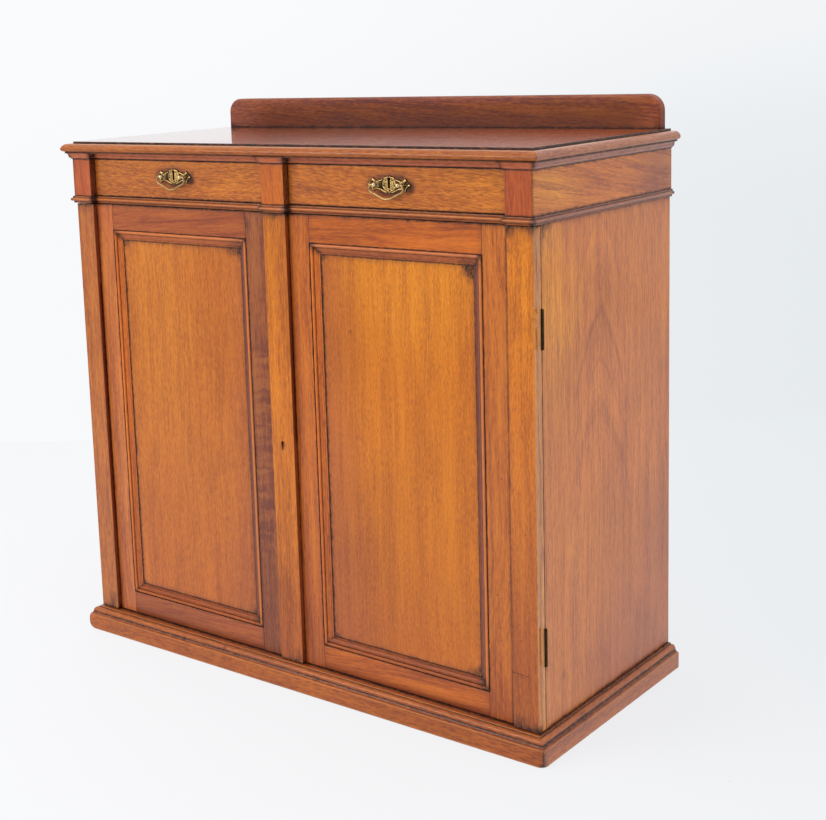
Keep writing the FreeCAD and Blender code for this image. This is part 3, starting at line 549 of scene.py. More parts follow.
def arc_points(a, m, b, n):
    (ax, ay), (bx, by), (cx, cy) = a, m, b
    d = 2 * (ax * (by - cy) + bx * (cy - ay) + cx * (ay - by))
    ux = ((ax * ax + ay * ay) * (by - cy) + (bx * bx + by * by) * (cy - ay) + (cx * cx + cy * cy) * (ay - by)) / d
    uy = ((ax * ax + ay * ay) * (cx - bx) + (bx * bx + by * by) * (ax - cx) + (cx * cx + cy * cy) * (bx - ax)) / d
    r = math.hypot(ax - ux, ay - uy)
    t0, tm, t1 = (math.atan2(y - uy, x - ux) for x, y in (a, m, b))
    span, mid = (t1 - t0) % (2 * math.pi), (tm - t0) % (2 * math.pi)
    if mid > span:
        span -= 2 * math.pi
    return [(ux + r * math.cos(t0 + span * i / n), uy + r * math.sin(t0 + span * i / n)) for i in range(1, n + 1)]


def profile(path, r=0.35, arc_n=8, near=1.1, closed=True, extra=None, hidden=None):
    """Points (d, h, hollow, rubbed) of a moulding's section, corners slightly rounded. Hollow corners are darkened for
    soiling and painted shade, proud ones are lightened for rubbing and a painted highlight.
    """
    pts = [path[0]]
    for p in path[1:]:
        if p[0] == "arc":
            pts += arc_points(pts[-1], p[1], p[2], arc_n)
        else:
            pts.append(p)
    if closed and math.hypot(pts[0][0] - pts[-1][0], pts[0][1] - pts[-1][1]) < 1e-6:
        pts.pop()
    n = len(pts)
    area = sum(pts[i - 1][0] * pts[i][1] - pts[i][0] * pts[i - 1][1] for i in range(n))
    out = []
    for i in range(n):
        b = pts[i]
        if not closed and i in (0, n - 1):
            out.append((b[0], b[1], 0.0, 0.0))
            continue
        a, c = pts[i - 1], pts[(i + 1) % n]
        u, w = (b[0] - a[0], b[1] - a[1]), (c[0] - b[0], c[1] - b[1])
        lu, lw = math.hypot(*u), math.hypot(*w)
        turn = math.atan2(u[0] * w[1] - u[1] * w[0], u[0] * w[0] + u[1] * w[1])
        if area < 0:
            turn = -turn
        if abs(turn) < math.radians(25) or (hidden and hidden(*b)):
            out.append((b[0], b[1], 0.0, 0.0))
            continue
        cut = min(r, 0.38 * lu, 0.38 * lw)
        u, w = (u[0] / lu, u[1] / lu), (w[0] / lw, w[1] / lw)
        p1 = (b[0] - u[0] * cut, b[1] - u[1] * cut)
        p2 = (b[0] + w[0] * cut, b[1] + w[1] * cut)
        pm = ((p1[0] + 2 * b[0] + p2[0]) / 4, (p1[1] + 2 * b[1] + p2[1]) / 4)
        val = (0.0, 1.0) if turn > 0 else (1.0, 0.0)
        if lu > 2.6 * near:
            out.append((b[0] - u[0] * near, b[1] - u[1] * near, 0.0, 0.0))
        out += [(p[0], p[1]) + val for p in (p1, pm, p2)]
        if lw > 2.6 * near:
            out.append((b[0] + w[0] * near, b[1] + w[1] * near, 0.0, 0.0))
    if extra:
        out = [(d, h, max(c, extra(d, h)[0]), max(w, extra(d, h)[1])) for d, h, c, w in out]
    return out


def sweep(name, prof, path, to3d, side=1, closed=False, step=9.0, seg_mat=None, wob=0.06, seed=0, dents=(), open_prof=False, flat=None, corner=0.0):
    """A moulding run along a path in its plane, mitred at each corner. side: on which side of the path it stands out.
    open_prof leaves the section open on its inside and closes the body with flat faces there, as for a board with a moulded edge."""
    n = len(path)
    segs = n if closed else n - 1
    dirs = []
    for s in range(segs):
        a, b = path[s], path[(s + 1) % n]
        length = math.hypot(b[0] - a[0], b[1] - a[1])
        dirs.append(((b[0] - a[0]) / length, (b[1] - a[1]) / length, length))
    norms = [(d[1] * side, -d[0] * side) for d in dirs]
    mitre = []
    for i in range(n):
        if not closed and i == 0:
            mitre.append(norms[0])
        elif not closed and i == n - 1:
            mitre.append(norms[-1])
        else:
            a, b = norms[(i - 1) % segs], norms[i % segs]
            k = 1 + a[0] * b[0] + a[1] * b[1]
            mitre.append(((a[0] + b[0]) / k, (a[1] + b[1]) / k))
    m = len(prof)
    pn = []
    for j in range(m):
        a = prof[(j - 1) % m] if not open_prof or j > 0 else prof[j]
        c = prof[(j + 1) % m] if not open_prof or j < m - 1 else prof[j]
        dx, dy = c[0] - a[0], c[1] - a[1]
        ln = math.hypot(dx, dy) or 1.0
        pn.append((dy / ln, -dx / ln))
    area = sum(prof[j - 1][0] * prof[j][1] - prof[j][0] * prof[j - 1][1] for j in range(m))
    sg = 1 if area > 0 else -1
    rings = []
    base = 0.0
    for s in range(segs):
        k = max(1, round(dirs[s][2] / step))
        for t in range(k):
            rings.append((s, t / k, t == 0 and (closed or s > 0), base + dirs[s][2] * t / k))
        base += dirs[s][2]
    if not closed:
        rings.append((segs - 1, 1.0, False, base))
    verts, cav, rub_and_highlight, sharp_ring = [], [], [], set()
    for ri, (s, t, is_corner, pos) in enumerate(rings):
        a, b = path[s], path[(s + 1) % n]
        ma, mb = mitre[s], mitre[(s + 1) % n]
        end = min(t * dirs[s][2], (1 - t) * dirs[s][2])
        if is_corner or (not closed and ri in (0, len(rings) - 1)):
            sharp_ring.add(ri)
        for j, (d, h, c, w) in enumerate(prof):
            inward = 0.0
            if wob and not (flat and flat(d, h)):
                inward = wob * (0.5 + 0.5 * noise.noise(Vector((pos * 0.013, d * 0.06 + h * 0.04, seed * 1.7))))
                if w > 0.5:
                    inward += 2.0 * wob * max(0.0, noise.noise(Vector((pos * 0.11, seed * 2.1, 3.0))))
            for s0, d0, h0, rad, depth in dents:
                q = (pos - s0) ** 2 + (d - d0) ** 2 + (h - h0) ** 2
                if q < 9 * rad * rad:
                    inward += depth * math.exp(-q / (rad * rad))
            dd, hh = d - sg * pn[j][0] * inward, h - sg * pn[j][1] * inward
            x = (a[0] + ma[0] * dd) * (1 - t) + (b[0] + mb[0] * dd) * t
            y = (a[1] + ma[1] * dd) * (1 - t) + (b[1] + mb[1] * dd) * t
            verts.append(to3d(x, y, hh))
            cav.append(min(1.0, c + (corner * math.exp(-end / 2.2) if corner else 0.0)))
            rub_and_highlight.append(w)
    R = len(rings)
    faces, fm = [], []
    for i in range(R if closed else R - 1):
        k = (i + 1) % R
        for j in range(m - 1 if open_prof else m):
            l = (j + 1) % m
            faces.append((i * m + j, i * m + l, k * m + l, k * m + j))
            fm.append(seg_mat[rings[i][0]] if seg_mat else 0)
    if not closed:
        if open_prof:
            faces.append(tuple(range(0, m)) + tuple((R - 1) * m + j for j in range(m - 1, -1, -1)))
            faces.append(tuple(i * m for i in range(R)))
            faces.append(tuple(i * m + m - 1 for i in range(R)))
            fm += [0, 0, 0]
        else:
            faces.append(tuple(range(m)))
            faces.append(tuple((R - 1) * m + j for j in range(m)))
            fm += [seg_mat[0] if seg_mat else 0, seg_mat[segs - 1] if seg_mat else 0]
    me = bpy.data.meshes.new(name)
    me.from_pydata(verts, [], faces)
    me.update()
    for f, i in zip(me.polygons, fm):
        f.material_index = i
    bm = bmesh.new()
    bm.from_mesh(me)
    bmesh.ops.recalc_face_normals(bm, faces=bm.faces[:])
    bm.to_mesh(me)
    bm.free()
    sharp = me.attributes.new("sharp_edge", "BOOLEAN", "EDGE")
    for e in me.edges:
        a, b = e.vertices
        if a // m == b // m and a // m in sharp_ring:
            sharp.data[e.index].value = True
    set_floats(me, "cav", cav)
    set_floats(me, "rub_and_highlight", rub_and_highlight)
    return new_object(name, me)


def join(name, objects):
    """Several loose parts as one mesh object."""
    bpy.ops.object.select_all(action="DESELECT")
    for o in objects:
        o.select_set(True)
    bpy.context.view_layer.objects.active = objects[0]
    bpy.ops.object.join()
    objects[0].name = name
    objects[0].data.name = name
    return objects[0]


def lathe(name, prof, origin, axis, steps=32):
    """A turned part. prof: (distance along the axis, radius) in mm from one end on the axis to the other."""
    axis = Vector(axis).normalized()
    u = axis.orthogonal().normalized()
    w = axis.cross(u)
    verts, faces, rows = [], [], []
    for a, r in prof:
        if r < 1e-6:
            rows.append([len(verts)])
            verts.append(origin + axis * (a * MM))
        else:
            rows.append(list(range(len(verts), len(verts) + steps)))
            for i in range(steps):
                t = 2 * math.pi * i / steps
                verts.append(origin + axis * (a * MM) + (u * math.cos(t) + w * math.sin(t)) * (r * MM))
    for a, b in zip(rows, rows[1:]):
        for i in range(steps):
            k = (i + 1) % steps
            if len(a) == 1 and len(b) == 1:
                continue
            if len(a) == 1:
                faces.append((a[0], b[i], b[k]))
            elif len(b) == 1:
                faces.append((a[i], a[k], b[0]))
            else:
                faces.append((a[i], a[k], b[k], b[i]))
    me = bpy.data.meshes.new(name)
    me.from_pydata(verts, [], faces)
    bm = bmesh.new()
    bm.from_mesh(me)
    bmesh.ops.recalc_face_normals(bm, faces=bm.faces[:])
    bm.to_mesh(me)
    bm.free()
    return new_object(name, me)


def catmull(points, per):
    out = []
    n = len(points)
    for i in range(n - 1):
        p0, p1, p2, p3 = points[max(i - 1, 0)], points[i], points[i + 1], points[min(i + 2, n - 1)]
        for s in range(per):
            t = s / per
            out.append(tuple(0.5 * (2 * b + (c - a) * t + (2 * a - 5 * b + 4 * c - d) * t * t + (3 * b - a - 3 * c + d) * t ** 3)
                             for a, b, c, d in zip(p0, p1, p2, p3)))
    out.append(tuple(points[-1]))
    return out


def tube(name, line, radii, sides=16):
    """A round bar along a line of points in mm, its radius changing along it, ends closed flat."""
    pts = [P(*p) for p in line]
    verts, faces = [], []
    n = len(pts)
    ref = Vector((0, 1, 0))
    for i, p in enumerate(pts):
        d = (pts[min(i + 1, n - 1)] - pts[max(i - 1, 0)]).normalized()
        a = ref
        b = d.cross(a).normalized()
        for s in range(sides):
            t = 2 * math.pi * s / sides
            verts.append(p + (a * math.cos(t) + b * math.sin(t)) * (radii[i] * MM))
    for i in range(n - 1):
        for s in range(sides):
            k = (s + 1) % sides
            faces.append((i * sides + s, i * sides + k, (i + 1) * sides + k, (i + 1) * sides + s))
    for i, rev in ((0, True), (n - 1, False)):
        faces.append(tuple(i * sides + s for s in range(sides)))
    me = bpy.data.meshes.new(name)
    me.from_pydata(verts, [], faces)
    bm = bmesh.new()
    bm.from_mesh(me)
    bmesh.ops.recalc_face_normals(bm, faces=bm.faces[:])
    bm.to_mesh(me)
    bm.free()
    return new_object(name, me)


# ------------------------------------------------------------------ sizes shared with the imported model, mm
HALF_W, DEPTH = 515.4, 463.9
WAIST_Z0, WAIST_Z1, FRIEZE_Z1, TOP_Z0, TOP_Z1 = 875.6, 889.2, 961.0, 973.0, 994.4
FX, FY, RY = 518.0, -3.0, 10.0
PIL_L, PIL_R, BLOCK_C = (-515.4, -470.0), (467.0, 515.4), (-32.0, 20.0)
OPEN_L = (-427.5, -84.5, 91.0, 824.7)
OPEN_R = (62.5, 415.5, 91.0, 824.7)
HANDLES = {"left_drawer": (-255.0, 931.6), "right_drawer": (239.0, 930.5)}
KEY = (-9.0, 460.8)


def plan(x, y, h):
    return P(x, y, h)


def upright(x, z, h):
    return P(x, h, z)


# ------------------------------------------------------------------ case and frieze
def box_of(node):
    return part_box(node)


# Both sides: the dark bands below the waist moulding and above the plinth, and the big spot at the front corner under
# the waist moulding, are painted shade with some soiling.
side_r = wood("side_right_wood", "z", 3, TONE["side"], k=0.95, bands=0.6, streaks=1.05, flecks=0.5, pores=0.4, tone=0.2, box=box_of("side_right"),
              patches=(((515.4, 60, 760), (40, 110, 300), (232, 146, 48), 0.75), ((515.4, 137, 790), (30, 26, 130), (232, 148, 60), 0.6), ((515.4, 118, 330), (30, 24, 150), (222, 136, 68), 0.6),
                       ((515.4, 420, 60), (80, 330, 420), (158, 86, 62), 0.7), ((515.4, 300, 460), (40, 70, 200), (186, 100, 56), 0.45), ((515.4, 200, 90), (40, 120, 70), (176, 92, 54), 0.5),
                       ((515.4, 215, 740), (40, 40, 110), (184, 104, 50), 0.4), ((515.4, 455, 720), (40, 60, 200), (214, 128, 62), 0.5)),
              rough=0.34, coat=0.6, coat_rough=0.16, joint=0.75, arch=("y", 206, 862, 8.2),
              fade=(("y", 340, 470, (176, 94, 58), 0.25), ("y", 70, 20, (214, 132, 72), 0.4)),
              grime_and_shade=(("z", 875.6, 3.2, 0.75), ("z", 875.6, 12, 0.34), ("z", 46, 6, 0.8), ("z", 46, 16, 0.2), ("y", 23, 1.4, 0.5), ("y", 23, 12, 0.2)),
              spots=((515.4, 23, 875, 40, 0.6), (515.4, 24, 690, 16, 0.25), (515.4, 24, 150, 14, 0.3), (515.4, 80, 120, 18, 0.3)))
refine("side_right", side_r, bevel=0.9, seg=3, grid=(None, 20, 20), wob=0.10, seed=1)
side_l = wood("side_left_wood", "z", 9, TONE["side"], k=0.85, bands=0.5, streaks=0.8, flecks=0.34, pores=0.35, tone=0.2, box=box_of("side_left"),
              patches=(((-515.4, 300, 700), (30, 30, 160), (220, 140, 66), 0.5), ((-515.4, 130, 260), (40, 100, 160), (170, 90, 58), 0.45)),
              rough=0.34, coat=0.6, coat_rough=0.16, joint=0.75, arch=("y", 150, 620, 9.4),
              grime_and_shade=(("z", 875.6, 5, 0.9), ("z", 875.6, 16, 0.3), ("z", 46, 9, 0.75), ("y", 23, 1.4, 0.6)),
              spots=((-515.4, 60, 300, 12, 0.3), (-515.4, 300, 640, 9, 0.25)))
refine("side_left", side_l, bevel=0.9, seg=3, grid=(None, 20, 20), wob=0.10, seed=2)

# the dark lines where the frieze sides meet the waist and bed mouldings are painted shade with some soiling
frieze = wood("frieze_side_wood", "y", 17, TONE["frieze_side"], k=0.95, bands=1.5, streaks=1.3, flecks=0.5, pores=0.5, tone=0.24, box=box_of("frieze_sides"),
              patches=(((518, 60, 925), (40, 130, 50), (228, 142, 52), 0.65), ((518, 420, 925), (40, 110, 60), (158, 84, 54), 0.7), ((518, 250, 945), (40, 60, 20), (180, 98, 50), 0.4)), tilt=(0.16, 0.0, 0.0), rough=0.34, coat=0.6, coat_rough=0.15, joint=0.4,
              grime_and_shade=(("z", 889.2, 5, 0.75), ("z", 961, 4, 0.75), ("y", -3, 3, 0.5), ("y", 463, 4, 0.4)))
refine("frieze_sides", frieze, bevel=0.6, seg=2, grid=(None, 20, 14), wob=0.06, seed=3)

# the three blocks: dark red at the right, more orange in the middle
# painted shade with some soiling along the waist and bed mouldings; dark joints at the blocks' ends
block_grime_and_shade = (("z", 889.2, 3.2, 0.8), ("z", 961, 3.2, 0.8), ("x", -470, 1.2, 0.7), ("x", -32, 1.0, 0.5), ("x", 20, 1.2, 0.7), ("x", 467, 1.2, 0.7))
blocks = []
for i, (rgb, tilt, seed) in enumerate(((TONE["block_l"], (0, 0, 0), 5), (TONE["block_c"], (0, 0.12, 0), 31), (TONE["block_r"], (0, 0, 0), 12))):
    blocks.append(wood("frieze_block_wood_%d" % i, "z", seed, rgb, k=0.85, bands=0.9, streaks=1.1, flecks=0.7, pores=0.5, tone=0.24, tilt=tilt,
                       rough=0.34, coat=0.55, coat_rough=0.14, grime_and_shade=block_grime_and_shade))
o = refine("frieze_blocks", blocks, bevel=0.8, seg=3, grid=(15, None, 12), wob=0.08, seed=4)
for f in o.data.polygons:
    f.material_index = 0 if f.center.x < -0.2 else (1 if f.center.x < 0.2 else 2)

# ------------------------------------------------------------------ plinth
PLINTH = [(-9.4, 0), (19.2, 0), (20.6, 1.4), (20.6, 4.5), (20.6, 9.0), (20.6, 18.0), (20.6, 24.0), (20.6, 27.5), (20.6, 30.4), (19.8, 31.2), ("arc", (16.2, 32.4), (14.4, 35.4)), (13.8, 35.4), (13.8, 36.2),
          ("arc", (12.2, 41.6), (6.4, 43.8)), (5.5, 43.2), (5.0, 43.8), (4.8, 45.3), (4.3, 45.8), (-2.0, 45.8), (-6.5, 45.8), (-9.4, 45.8)]


def plinth_extra(d, h):
    if h > 45.7:
        return (0.9 if d < -6 else (0.32 if d < -1 else 0.12), 0.75 if d > 3.5 else 0.0)     # ledge in front of the doors: soiling and painted shade close under them, its front edge rubbed with a painted highlight
    if h > 44.9 and d > 4.2:
        return (0.0, 1.0)                                               # its rubbed edge, with a painted highlight
    if h > 42.9 and 4.9 < d < 6.0:
        return (0.95, 0.0)                                              # quirk, a dark line of painted shade
    if 31.4 < h < 35.5 and d > 13.7:
        return (0.42 + 0.5 * max(0.0, 1 - abs(h - 35.2) / 1.6), 0.0)      # cove, painted shade
    # next a dark line of painted shade above the cove, then painted highlight along the bead and along the plain face's
    # top edge
    if 35.5 < h < 36.6 and d > 13:
        return (0.5, 0.0)
    if 38.5 < h < 43.5 and 7 < d < 13.2:
        return (0.0, 0.35)
    if 29.5 < h < 31.3 and d > 19.5:
        return (0.0, 0.85)
    return (0.0, 0.0)


def ease_corners(o):
    """The plinth's two front corners, knocked round at their foot and at the top of the plain face."""
    for v in o.data.vertices:
        x, y, z = v.co.x / MM, v.co.y / MM + S, v.co.z / MM
        for sx in (-1, 1):
            for cz, r, depth, up in ((0.0, 6.5, 3.4, 0.45), (30.4, 4.2, 2.2, -0.3)):
                q = ((x - sx * 536.0) ** 2 + (y + 20.6) ** 2 + (z - cz) ** 2) / (r * r)
                if q < 9:
                    k = depth * math.exp(-q)
                    v.co.x -= sx * 0.65 * k * MM
                    v.co.y += 0.65 * k * MM
                    v.co.z += up * k * MM
    o.data.update()


rnd = random.Random(41)
prof = profile(PLINTH, r=0.6, arc_n=9, near=1.6, extra=plinth_extra, hidden=lambda d, h: d < 0)
dents = []
for _ in range(46):
    kind = rnd.random()
    s0 = rnd.uniform(15, 1015)
    if kind < 0.55:
        dents.append((s0, rnd.uniform(8.5, 13.2), rnd.uniform(37.5, 43), rnd.uniform(1.2, 3.2), rnd.uniform(0.25, 0.75)))
    elif kind < 0.8:
        dents.append((s0, 20.6, rnd.uniform(28, 31), rnd.uniform(1.2, 3.0), rnd.uniform(0.3, 0.8)))
    else:
        dents.append((s0, 20.6, rnd.uniform(0, 24), rnd.uniform(1.2, 2.6), rnd.uniform(0.15, 0.4)))
# Plinth: dark lines at its foot, along the cove and at the corners; the one along the cove is painted shade with
# soiling
plinth_front_m = wood("plinth_front_wood", "x", 23, TONE["plinth_front"], k=0.95, bands=0.7, streaks=1.0, flecks=1.1, pores=0.7, rough=0.38, coat=0.55,
                      coat_rough=0.2, bump=1.3, soil=0.85, cav=0.95, rub_and_highlight=0.8,
                      grime_and_shade=(("z", 0, 2.4, 0.6), ("z", 34.6, 2.6, 0.35), ("x", 536, 3.2, 0.9), ("x", 534, 16, 0.25), ("x", -536, 3.0, 0.7)),
                      spots=((-270, -14, 34, 9, 0.75), (-165, -14, 40, 8, 0.5), (60, -13, 34, 11, 0.4), (300, -14, 38, 8, 0.4), (534, -20, 3, 8, 0.8), (-430, -20, 20, 6, 0.4), (120, -20, 18, 5, 0.4)))
prof_f = profile([(-23, 0), (-9.4, 0)] + PLINTH[1:-1] + [(-12.0, 45.8), (-23, 45.8)], r=0.6, arc_n=9, near=1.6, extra=plinth_extra, hidden=lambda d, h: d < 0)
o = sweep("v_plinth_front", prof_f, [(-HALF_W, 0), (HALF_W, 0)], plan, side=1, step=4.0, wob=0.12, seed=1, dents=dents)
# its ends are mitred: the end sections follow the corner's diagonal
me = o.data
m = len(prof_f)
R = len(me.vertices) // m
for i in range(R):
    for j in range(m):
        me.vertices[i * m + j].co.x += max(prof_f[j][0], -9.4) * MM * (2 * i / (R - 1) - 1)
ease_corners(o)
finish_piece(o, "plinth_front", plinth_front_m)
# the lines along the cove and along the ledge's edge are painted shade with soiling
plinth_side_m = wood("plinth_side_wood", "y", 29, TONE["plinth_side"], k=0.95, bands=0.8, streaks=1.1, flecks=0.8, pores=0.7, rough=0.40, coat=0.6,
                     coat_rough=0.18, bump=1.3, soil=0.8, cav=0.95, rub_and_highlight=0.6,
                     grime_and_shade=(("z", 0, 3.0, 0.5), ("z", 34.4, 4.0, 0.5), ("z", 45.8, 2.5, 0.7), ("y", -20.6, 3.4, 0.9), ("y", -18, 22, 0.35)),
                     spots=((534, -18, 4, 10, 0.8), (530, 120, 36, 14, 0.4), (530, 330, 36, 16, 0.4)))
runs = []
for sx in (-1, 1):
    rnd = random.Random(7 + sx)
    dents = [(rnd.uniform(10, 455), rnd.uniform(8.5, 20.6), rnd.uniform(3, 43), rnd.uniform(1.2, 3.0), rnd.uniform(0.15, 0.6)) for _ in range(18)]
    path = [(sx * HALF_W, 0), (sx * HALF_W, DEPTH)]
    r_ = sweep("plinth_side_%d" % sx, prof, path, plan, side=sx, step=5.0, wob=0.10, seed=3 + sx, dents=dents)
    mp = len(prof)
    R = len(r_.data.vertices) // mp
    for i in range(R):
        for j in range(mp):
            r_.data.vertices[i * mp + j].co.y -= prof[j][0] * MM * (1 - i / (R - 1))
    ease_corners(r_)
    runs.append(r_)
finish_piece(join("v_plinth_sides", runs), "plinth_sides", plinth_side_m)

# ------------------------------------------------------------------ mouldings
OUTLINE = [(-FX, DEPTH), (-FX, FY), (-470.0, FY), (-470.0, RY), (-32.0, RY), (-32.0, FY), (20.0, FY), (20.0, RY), (467.0, RY), (467.0, FY), (FX, FY), (FX, DEPTH)]
SEG = [1, 0, 1, 0, 1, 0, 1, 0, 1, 0, 1]
WAIST = [(0.0, 875.6), (1.2, 875.6), (1.2, 879.2), (2.6, 879.4), ("arc", (5.9, 882.4), (3.2, 885.4)), (2.5, 885.4), (2.7, 887.4), (1.9, 888.9), (0.0, 889.2)]
BED = [(0.0, 961.0), (1.6, 961.0), (1.6, 962.2), ("arc", (4.5, 964.6), (5.3, 968.0)), ("arc", (6.8, 971.0), (10.4, 972.2)), (10.4, 973.0), (0.0, 973.0)]


def waist_extra(d, h):
    # Dark line along the top below the drawers: soiling and painted shade; painted shade in the recess below the round;
    # painted highlight along the round's crest.
    if h > 888.4:
        return (0.8, 0.0)
    if h > 885.5:
        return (0.42, 0.0)                                              # dull fillet above the round
    if h < 879.3:
        return (0.4, 0.0)
    if h < 880.6:
        return (0.15, 0.0)
    return (0.0, 0.8 if 881.8 < h < 884.6 and d > 4 else 0.0)


def bed_extra(d, h):
    # Painted shade along the bottom line and in the hollow under the nosing; painted highlight on the bead.
    if h < 962.2:
        return (0.9, 0.0)
    if d > 8.5 and h > 971:
        return (0.55, 0.0)
    return (0.0, 0.4 if 963.5 < h < 966 and d > 3.3 else 0.0)


waist_x = wood("waist_wood_front", "x", 41, TONE["waist_front"], k=0.9, bands=0.8, streaks=0.9, flecks=0.9, pores=0.5, rough=0.34, coat=0.55, cav=0.95, rub_and_highlight=0.9,
               spots=((518, -5, 880, 10, 0.6),))
# the dark spots at the inner corners beside the blocks are painted shade
waist_y = wood("waist_wood_side", "y", 43, TONE["waist_side"], k=0.9, bands=0.8, streaks=0.9, flecks=0.9, pores=0.5, rough=0.34, coat=0.55, cav=0.95, rub_and_highlight=0.6,
               spots=((-470, 4, 882, 12, 0.7), (20, 4, 882, 12, 0.8), (518, -5, 880, 10, 0.6)))
o = sweep("v_waist_moulding", profile(WAIST, r=0.3, arc_n=10, near=0.7, extra=waist_extra, hidden=lambda d, h: d < 0.01), OUTLINE, plan, side=1, step=9,
          seg_mat=SEG, wob=0.07, seed=5, corner=0.9)
finish_piece(o, "waist_moulding", [waist_x, waist_y])
bed_x = wood("bed_wood_front", "x", 47, TONE["bed_front"], k=0.9, bands=0.8, streaks=0.9, flecks=0.9, pores=0.5, rough=0.34, coat=0.55, cav=0.95, rub_and_highlight=0.5)
# the dark spots at the inner corners beside the blocks are painted shade
bed_y = wood("bed_wood_side", "y", 53, TONE["bed_side"], k=0.9, bands=0.8, streaks=0.9, flecks=0.9, pores=0.5, rough=0.34, coat=0.55, cav=0.95, rub_and_highlight=0.4,
             spots=((-470, 4, 967, 12, 0.6), (20, 4, 967, 14, 0.8)))
o = sweep("v_bed_moulding", profile(BED, r=0.3, arc_n=9, near=0.7, extra=bed_extra, hidden=lambda d, h: d < 0.01 or (h > 972.9 and d < 10)), OUTLINE, plan,
          side=1, step=9, seg_mat=SEG, wob=0.07, seed=6, corner=0.9)
finish_piece(o, "bed_moulding", [bed_x, bed_y])

# ------------------------------------------------------------------ top and upstand
NOSE = [(-8.0, 973.0), (12.4, 973.0), (12.4, 975.2), (14.8, 976.0), ("arc", (17.8, 978.4), (18.4, 982.0)), ("arc", (13.9, 988.3), (4.5, 990.5)),
        (0.0, 989.9), (0.0, 994.4), (-8.0, 994.4)]


def nose_extra(d, h):
    # Painted shade on the riser of the raised field and on the nosing's underside.
    if d < 0.8 and h < 993.2 and h > 989:
        return (1.0, 0.0)
    if d < 2.2 and 989 < h < 991:
        return (0.35, 0.0)
    if 3.0 <= d < 11.5 and h > 988.6:
        return (0.0, 2.2 if d > 5 else 1.2)                                     # rubbed shoulder with a painted highlight
    if d < 14.0 and 972 < h < 976.6 and d > 9:
        return (0.6, 0.0)
    return (0.0, 0.0)


top_kw = dict(rough=0.24, coat=1.0, coat_rough=0.05, coat_ior=1.45, bump=0.4, coat_bump=0.03, streaks=1.2, pores=0.45, flecks=0.3, soil=0.5, cav=0.95, rub_and_highlight=0.45)
top_front = wood("top_wood_front", "x", 61, TONE["top_flat"], k=0.85, spots=((534, -17, 982, 9, 0.45), (-300, -16, 985, 4, 0.4), (350, -16, 986, 5, 0.5), (420, -16, 984, 4, 0.4)),
                 fade=(("x", -540, -500, (120, 56, 38), 0.3), ("x", 0, 420, (140, 60, 12), 0.55)), coat_fade=("x", -300, 480, 0.25), **top_kw)
nose_kw = dict(top_kw, coat=0.45, coat_rough=0.12, rough=0.36, coat_ior=1.4, flecks=1.3, bump=0.55, coat_bump=0.3, streaks=1.0)
nose_front = wood("nose_wood_front", "x", 62, TONE["nose_front"], k=0.85, spots=((534, -17, 982, 9, 0.45), (-300, -16, 985, 4, 0.4), (350, -16, 986, 5, 0.5), (420, -16, 984, 4, 0.4)), **nose_kw)
# on the sides, a dark line just below the nosing: painted shade
top_side = wood("top_wood_side", "y", 67, TONE["nose_side"], k=0.8, grime_and_shade=(("z", 974, 2.2, 0.5),), **nose_kw)
# the riser's top is made dark as well: painted shade
nose_prof = [(d, h, max(c, 0.95), 0.0) if h > 993.0 and d > -1.7 else (d, h, c, w) for d, h, c, w in profile(NOSE, r=0.5, arc_n=12, near=1.0, closed=False, extra=nose_extra)]
o = sweep("v_top_board", nose_prof, [(-516.6, DEPTH), (-516.6, 0.6), (516.6, 0.6), (516.6, DEPTH)],
          plan, side=1, step=8, seg_mat=[1, 0, 1], wob=0.10, seed=8, open_prof=True, flat=lambda d, h: d < 0.1 or h < 973.1,
          dents=((520 + 150, 14.5, 987.5, 2.2, 0.4), (520 + 455, 17.8, 981, 2.0, 0.5), (463 + 900, 12, 988.6, 2.4, 0.5), (463 + 1000, 16.5, 985, 2.5, 0.5)))
for f in o.data.polygons:
    if f.material_index == 0 and not (f.normal.z > 0.98 and f.center.z > 0.9943) and f.center.y < 0.2:
        f.material_index = 2
    if f.normal.z > 0.98 and f.center.z > 0.9943:
        f.material_index = 0
finish_piece(o, "top_board", [top_front, top_side, nose_front])

UX, UR, UZ0, UZ1 = 506.0, 29.0, TOP_Z1, TOP_Z1 + 60.5
loop = [(-UX, UZ0), (UX, UZ0), (UX, UZ1 - UR)]
loop += [(UX - UR + UR * math.cos(t), UZ1 - UR + UR * math.sin(t)) for t in (math.pi / 2 * i / 20 for i in range(1, 21))]
loop += [(-UX + UR, UZ1)] + [(-UX + UR - UR * math.sin(t), UZ1 - UR + UR * math.cos(t)) for t in (math.pi / 2 * i / 20 for i in range(1, 21))]
bm = bmesh.new()
front = [bm.verts.new(P(x, DEPTH - 22.0, z)) for x, z in loop]
back = [bm.verts.new(P(x, DEPTH, z)) for x, z in loop]
bm.faces.new(front)
bm.faces.new(back[::-1])
for i in range(len(loop)):
    k = (i + 1) % len(loop)
    bm.faces.new((front[i], back[i], back[k], front[k]))
bmesh.ops.recalc_face_normals(bm, faces=bm.faces[:])
bm.verts.ensure_lookup_table()
fe = [e for e in bm.edges if all(abs(v.co.y - P(0, DEPTH - 22.0, 0).y) < 1e-6 for v in e.verts) and max(v.co.z for v in e.verts) > (UZ0 + 1) * MM]
be = [e for e in bm.edges if all(abs(v.co.y - P(0, DEPTH, 0).y) < 1e-6 for v in e.verts) and max(v.co.z for v in e.verts) > (UZ0 + 1) * MM]
bmesh.ops.bevel(bm, geom=fe, offset=4.0 * MM, offset_type="OFFSET", segments=6, profile=0.5, affect="EDGES", clamp_overlap=False)
bmesh.ops.bevel(bm, geom=[e for e in be if e.is_valid], offset=1.2 * MM, offset_type="OFFSET", segments=2, profile=0.5, affect="EDGES", clamp_overlap=False)
